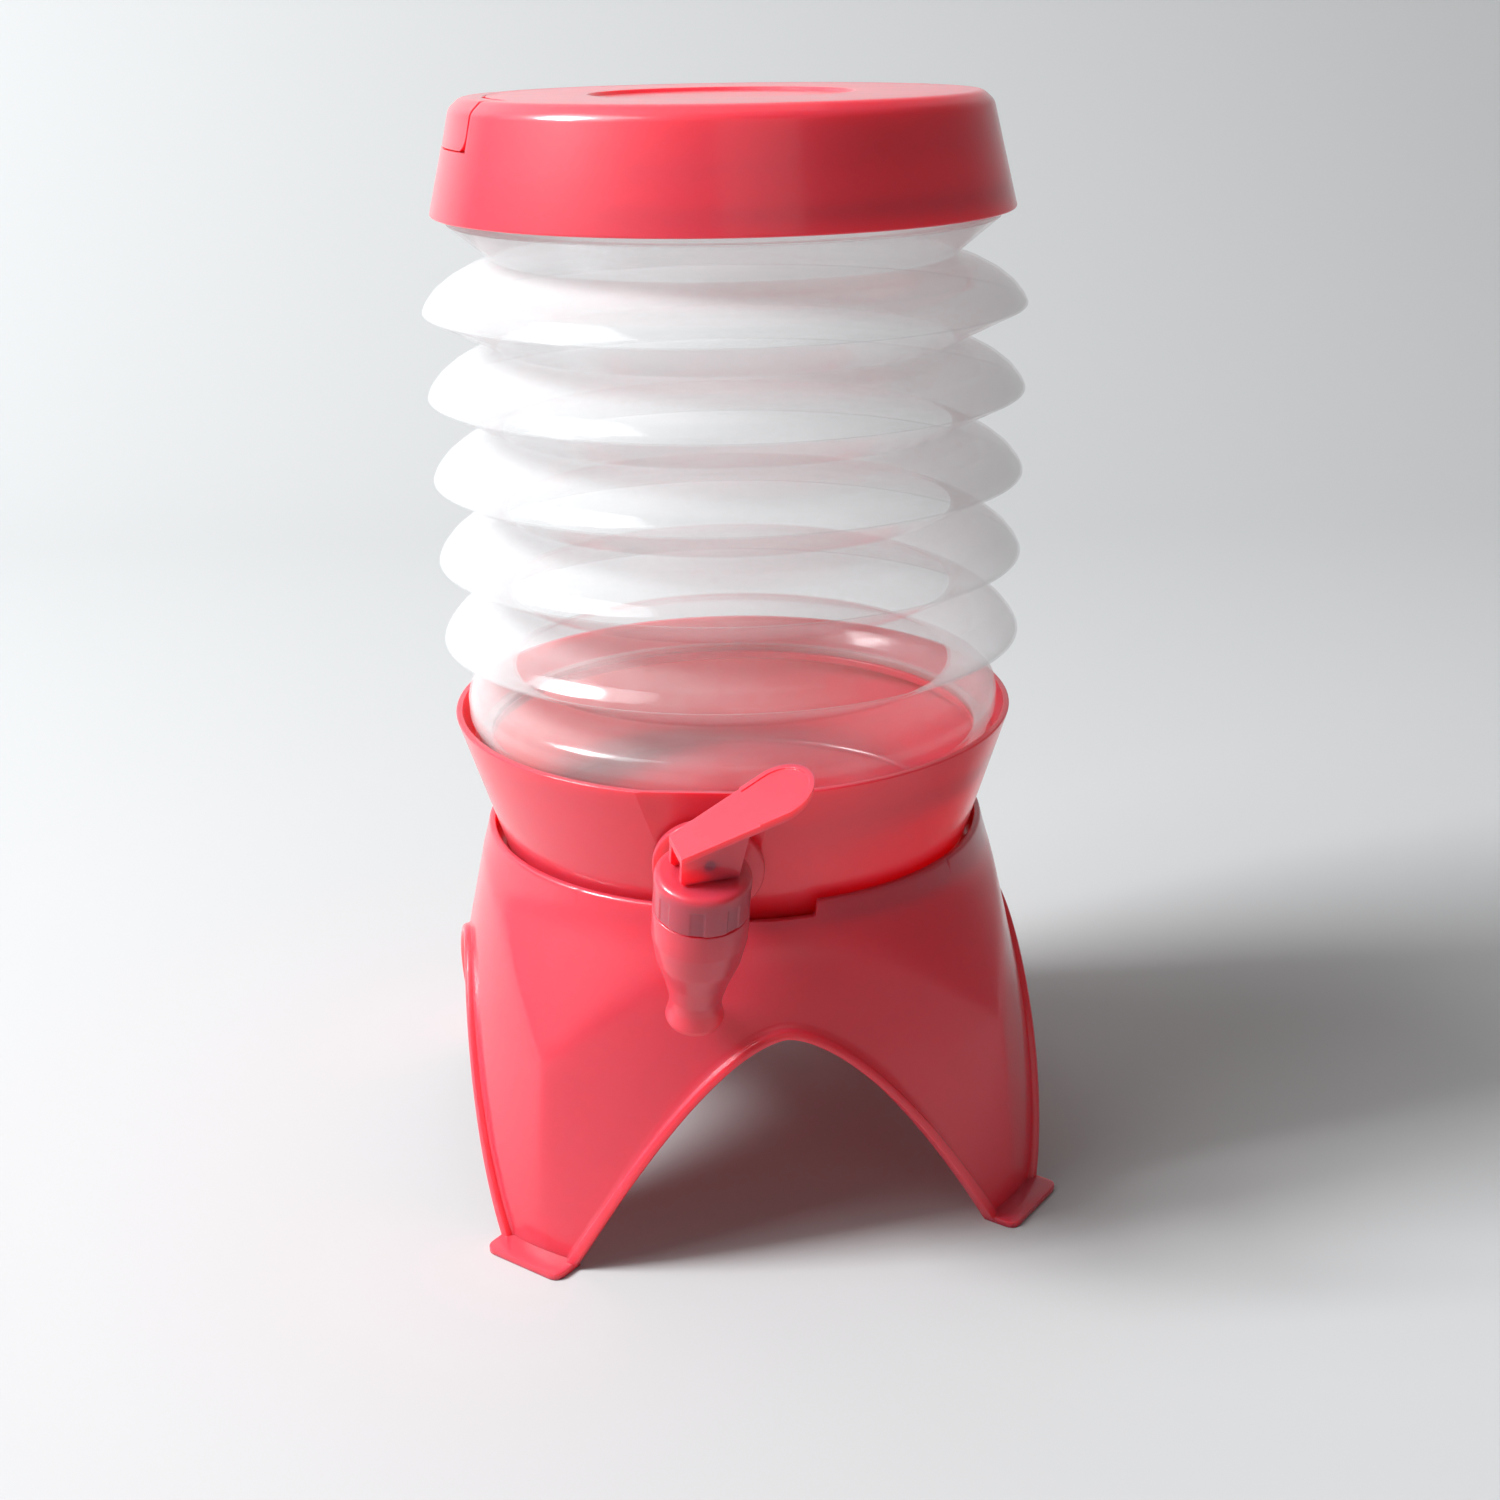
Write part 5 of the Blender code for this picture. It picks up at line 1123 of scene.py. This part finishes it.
def ring(inner, outer, low, high, radius=0.5):
    return [(inner, low, radius), (outer, low, radius), (outer, high, radius), (inner, high, radius)]


BELL_TOP = 17.2
BELL_BOTTOM = -13.2
PLUG_TOP = -13.5
STEM_HOLE_FLOOR = -20.0
WASHER_BORE = 6.2


class DISPENSER_OT_seals(bpy.types.Operator):
    """Builds the silicone seals, the silicone cup of the tap and the rubber washers"""
    bl_idname = "dispenser.seals"
    bl_label = "Seals and washers"

    def execute(self, context):
        soft = pressed_silicone()
        rubber = plain_moulding("nitrile rubber, pressed", tuple(colours().rubber), 0.6, 0.8)
        turned("seal_ring", ring(85.8, 90.1, 156.3, 158.5, 0.8), RESERVOIR_PLACE, "reservoir",
               "basin_seal", soft, steps=sizes().columns)
        turned("gasket_ring", ring(82.5, 86.4, 352.0, 354.2, 0.8), RESERVOIR_PLACE, "gasket",
               "lid_gasket", soft, steps=sizes().columns)
        turned("flange_washer", ring(WASHER_BORE, 11.8, 28.7, 29.7, 0.3), TAP_PLACE, "reservoir",
               "tap_outer_washer", rubber, lay=True)
        turned("nut_washer", ring(WASHER_BORE, 8.6, 32.1, 33.9), TAP_PLACE, "reservoir",
               "tap_inner_washer", rubber, lay=True)
        bell = [(13.1, 15.2, 0.3), (13.1, BELL_TOP, 0.3), (8.8, BELL_TOP, 0.4), (8.8, 2.0, 4.0),
                (6.16, -6.0, 4.0), (3.7, BELL_BOTTOM, 0.2), (5.0, BELL_BOTTOM, 0.2), (7.46, -6.6, 4.0),
                (10.1, 1.6, 4.0), (10.1, 15.2, 0.3)]
        cup = turned("seat_cup", bell, TAP_PLACE, "reservoir", "tap_seat_bell", soft)
        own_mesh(cup)
        plug = [(0.0, -23.0, 0.0), (6.1, -23.0, 0.8), (6.17, -21.8, 0.6), (8.43, -15.2, 0.8),
                (8.43, PLUG_TOP, 0.4), (3.4, PLUG_TOP, 0.3), (3.4, STEM_HOLE_FLOOR, 0.3),
                (0.0, STEM_HOLE_FLOOR, 0.0)]
        turned("seat_plug", plug, TAP_PLACE, "plug", "tap_seat_plug", soft)
        return {"FINISHED"}


STEM_RADIUS = 3.0
STEM_BOTTOM = -19.7
STEM_TOP = 29.0
PIN_HALF = 5.1
NUT_FRONT = 34.2
NUT_BACK = 40.7
NUT_ROUND = 10.7
NUT_CORNER = 11.1
PIVOT_RADIUS = 1.6
PIVOT_FROM = 72.7
PIVOT_TO = 83.0


class DISPENSER_OT_small_parts(bpy.types.Operator):
    """Builds the nut, the stem and the pins"""
    bl_idname = "dispenser.small_parts"
    bl_label = "Nut, stem and pins"

    def execute(self, context):
        tone = colours()
        red = moulded_polypropylene()
        acetal = plain_moulding("acetal, turned", tuple(tone.acetal), 0.32, 2.0)
        steel = plain_moulding("stainless wire, drawn", tuple(tone.steel), 0.28, 0.6, metallic=1.0)
        lying = Matrix.Translation((0.0, 0.0, PIN_LEVEL)) @ Matrix.Rotation(math.pi / 2.0, 4, "X")
        stem = [(0.0, STEM_BOTTOM, 0.0), (STEM_RADIUS, STEM_BOTTOM, 0.4), (STEM_RADIUS, STEM_TOP, 0.9),
                (0.0, STEM_TOP, 0.0)]
        piece = loose("stem_rod", spun(rounded(stem, 4), 48))
        carve(piece, [placed(rod(PIN_HOLE_RADIUS, -8.0, 8.0, 24), lying)])
        finish_piece(piece, "stem_rod", LEVER_PLACE, "stem", "tap_stem", acetal)
        pin = [(0.0, -PIN_HALF, 0.0), (PIN_RADIUS, -PIN_HALF, 0.35), (PIN_RADIUS, PIN_HALF, 0.35),
               (0.0, PIN_HALF, 0.0)]
        turned("lever_wire_pin", pin, LEVER_PLACE @ lying, "stem", "tap_lever_pin", steel,
               steps=32)
        nut = [(0.0, NUT_FRONT, 0.0), (NUT_ROUND, NUT_FRONT, 0.9), (NUT_ROUND, NUT_BACK, 0.9),
               (0.0, NUT_BACK, 0.0)]
        piece = loose("shank_nut", along_shank(spun(rounded(nut, 3), 96)))
        flats = placed(rod(NUT_CORNER, 33.0, 42.0, 6), Matrix.Rotation(math.radians(30.0), 4, "Z"))
        carve(piece, [along_shank(flats)], "INTERSECT")
        carve(piece, [along_shank(rod(SHANK_HOLE, 32.0, 43.0, 48))])
        finish_piece(piece, "shank_nut", FLAT_PLACE, "reservoir", "tap_nut", red,
                     edge=0.2 * MM, sharp=25.0)
        pivot = [(0.0, PIVOT_FROM, 0.0), (PIVOT_RADIUS, PIVOT_FROM, 0.3), (PIVOT_RADIUS, PIVOT_TO, 0.3),
                 (0.0, PIVOT_TO, 0.0)]
        for hand, side in (("left", -1), ("right", 1)):
            name = "pivot_" + hand
            piece = loose(name, across(spun(rounded(pivot, 3), 32), side))
            finish_piece(piece, name, BAIL_PLACE, "lid", "handle_pin_" + hand, red)
        return {"FINISHED"}


# Stage and camera, in metres and degrees, in a frame turned like the photograph's
STAGE_TURN = math.radians(-9.0)
FLOOR_FRONT = -4.0
FLOOR_BACK = 0.9
FLOOR_BEND = 0.8
FLOOR_HALF_WIDTH = 5.0
BACKDROP_HEIGHT = 4.0
CAMERA_PLACE = (0.0, -0.6691, 0.3967)
CAMERA_PITCH = math.radians(20.54)
CAMERA_YAW = math.radians(0.50)
CAMERA_ROLL = math.radians(-0.91)
SENSOR_WIDTH = 36.0
DAYLIGHT = (0.95, 0.98, 1.0)
LAMP_WHITE = (1.0, 1.0, 1.0)
AIM_LOW = (0.0, 0.0, 0.15)
AIM_HIGH = (0.0, 0.0, 0.2)


class DISPENSER_OT_stage(bpy.types.Operator):
    """Sets up the floor, the backdrop, the soft lamps and the camera"""
    bl_idname = "dispenser.stage"
    bl_label = "Stage"

    def execute(self, context):
        scene = context.scene
        bm = bmesh.new()
        line = [Vector((0.0, FLOOR_FRONT, 0.0)), Vector((0.0, FLOOR_BACK, 0.0))]
        for k in range(1, 17):
            angle = math.radians(90.0 * k / 16.0)
            line.append(Vector((0.0, FLOOR_BACK + FLOOR_BEND * math.sin(angle),
                                FLOOR_BEND - FLOOR_BEND * math.cos(angle))))
        line.append(Vector((0.0, FLOOR_BACK + FLOOR_BEND, BACKDROP_HEIGHT)))
        verts = [bm.verts.new((-FLOOR_HALF_WIDTH, p.y, p.z)) for p in line]
        edges = [bm.edges.new(pair) for pair in zip(verts, verts[1:])]
        swept = bmesh.ops.extrude_edge_only(bm, edges=edges)
        moved = [g for g in swept["geom"] if isinstance(g, bmesh.types.BMVert)]
        bmesh.ops.translate(bm, verts=moved, vec=(2.0 * FLOOR_HALF_WIDTH, 0.0, 0.0))
        bmesh.ops.recalc_face_normals(bm, faces=bm.faces)
        floor = loose("floor", bm)
        floor.data.transform(Matrix.Rotation(STAGE_TURN, 4, "Z"))
        floor.data.shade_smooth()
        floor.data.materials.append(self.paper())

        world = scene.world or bpy.data.worlds.new("studio")
        scene.world = world
        world.use_nodes = True
        tree = world.node_tree
        tree.nodes.clear()
        sky = add(tree, "ShaderNodeBackground", values={"Color": (1.0, 0.97, 0.95, 1.0), "Strength": 0.16})
        add(tree, "ShaderNodeOutputWorld", links={"Surface": sky.outputs["Background"]})

        self.lamp("window", (-2.35, -0.50, 2.20), AIM_LOW, (0.95, 1.0), 162.0, DAYLIGHT)
        self.lamp("window glow", (-2.10, -0.60, 2.60), AIM_LOW, (2.2, 1.5), 60.0, DAYLIGHT)
        self.lamp("front fill", (0.5, -1.9, 1.3), AIM_LOW, (1.2, 1.0), 2.4, LAMP_WHITE)
        self.lamp("top fill", (-0.2, 0.4, 1.6), AIM_HIGH, (1.2, 1.2), 2.8, LAMP_WHITE)
        self.camera(scene)
        scene.view_settings.view_transform = "Standard"
        scene.cycles.transparent_max_bounces = 48
        return {"FINISHED"}

    def paper(self):
        """Matt background paper: its tooth is too fine to see, so a broad unevenness stands for it."""
        material, tree = blank("background paper, matt")
        if tree is None:
            return material
        where = add(tree, "ShaderNodeTexCoord")
        cloud = add(tree, "ShaderNodeTexNoise", values={"Scale": 1.0 / 0.6, "Detail": 2.0},
                    links={"Vector": where.outputs["Object"]})
        tint = add(tree, "ShaderNodeMix", {"data_type": "RGBA"}, links={"Factor": cloud.outputs["Fac"]})
        rgb = tuple(colours().floor)
        tint.inputs["A"].default_value = opaque(tuple(c * 0.985 for c in rgb))
        tint.inputs["B"].default_value = opaque(rgb)
        shader = add(tree, "ShaderNodeBsdfPrincipled", values={"Roughness": 0.6, "Specular IOR Level": 0.2},
                     links={"Base Color": tint.outputs["Result"]})
        add(tree, "ShaderNodeOutputMaterial", links={"Surface": shader.outputs["BSDF"]})
        return material

    def lamp(self, name, place, target, size, power, tone):
        """Soft rectangular lamp, placed and aimed from the middle of the stand."""
        data = bpy.data.lights.new(name, "AREA")
        data.color = tone
        data.shape = "RECTANGLE"
        data.size, data.size_y = size
        data.energy = power
        lamp = bpy.data.objects.new(name, data)
        bpy.context.scene.collection.objects.link(lamp)
        axis = AXIS_PLACE.translation
        turn = Matrix.Rotation(STAGE_TURN, 4, "Z")
        lamp.location = turn @ Vector(place) + axis
        aim = turn @ Vector(target) + axis - lamp.location
        lamp.rotation_euler = aim.to_track_quat("-Z", "Y").to_euler()

    def camera(self, scene):
        """Camera from the photograph: 0.67 m in front, 0.40 m up, looking 20.5 degrees down."""
        level = math.cos(CAMERA_PITCH)
        ahead = Vector((math.sin(CAMERA_YAW) * level, math.cos(CAMERA_YAW) * level,
                        -math.sin(CAMERA_PITCH)))
        right = Vector((math.cos(CAMERA_YAW), -math.sin(CAMERA_YAW), 0.0))
        tilt = Matrix.Rotation(-CAMERA_ROLL, 3, ahead)
        up = right.cross(ahead)
        right, up = tilt @ right, tilt @ up
        turn = Matrix.Rotation(STAGE_TURN, 4, "Z")
        rotation = Matrix((right, up, -ahead)).transposed().to_4x4()
        data = bpy.data.cameras.new("camera")
        data.sensor_width = SENSOR_WIDTH
        data.lens = data.sensor_width * FOCAL_PIXELS / PHOTO_WIDTH
        data.clip_start = 0.01
        camera = bpy.data.objects.new("camera", data)
        scene.collection.objects.link(camera)
        camera.matrix_world = AXIS_PLACE @ turn @ Matrix.Translation(CAMERA_PLACE) @ rotation
        scene.camera = camera


OPERATORS = (DISPENSER_OT_stage, DISPENSER_OT_stand, DISPENSER_OT_basin, DISPENSER_OT_bellows,
             DISPENSER_OT_neck, DISPENSER_OT_lid, DISPENSER_OT_handle, DISPENSER_OT_tap,
             DISPENSER_OT_lever, DISPENSER_OT_seals, DISPENSER_OT_small_parts)


class DISPENSER_PT_panel(bpy.types.Panel):
    """Sizes, colours and builders of the dispenser"""
    bl_idname = "DISPENSER_PT_panel"
    bl_label = "Folding drink dispenser"
    bl_space_type = "VIEW_3D"
    bl_region_type = "UI"
    bl_category = "Dispenser"

    def draw(self, context):
        layout = self.layout
        for group in (context.scene.dispenser_sizes, context.scene.dispenser_colours):
            column = layout.column()
            for key in group.bl_rna.properties.keys():
                if key not in ("rna_type", "name"):
                    column.prop(group, key)
        for operator in OPERATORS:
            layout.operator(operator.bl_idname)


CLASSES = (DispenserSizes, DispenserColours, DISPENSER_PT_panel) + OPERATORS


def register():
    for item in CLASSES:
        bpy.utils.register_class(item)
    bpy.types.Scene.dispenser_sizes = PointerProperty(type=DispenserSizes)
    bpy.types.Scene.dispenser_colours = PointerProperty(type=DispenserColours)


def unregister():
    del bpy.types.Scene.dispenser_colours
    del bpy.types.Scene.dispenser_sizes
    for item in reversed(CLASSES):
        bpy.utils.unregister_class(item)


def main():
    register()
    for operator in OPERATORS:
        group, name = operator.bl_idname.split(".")
        getattr(getattr(bpy.ops, group), name)()


if __name__ == "__main__":
    main()
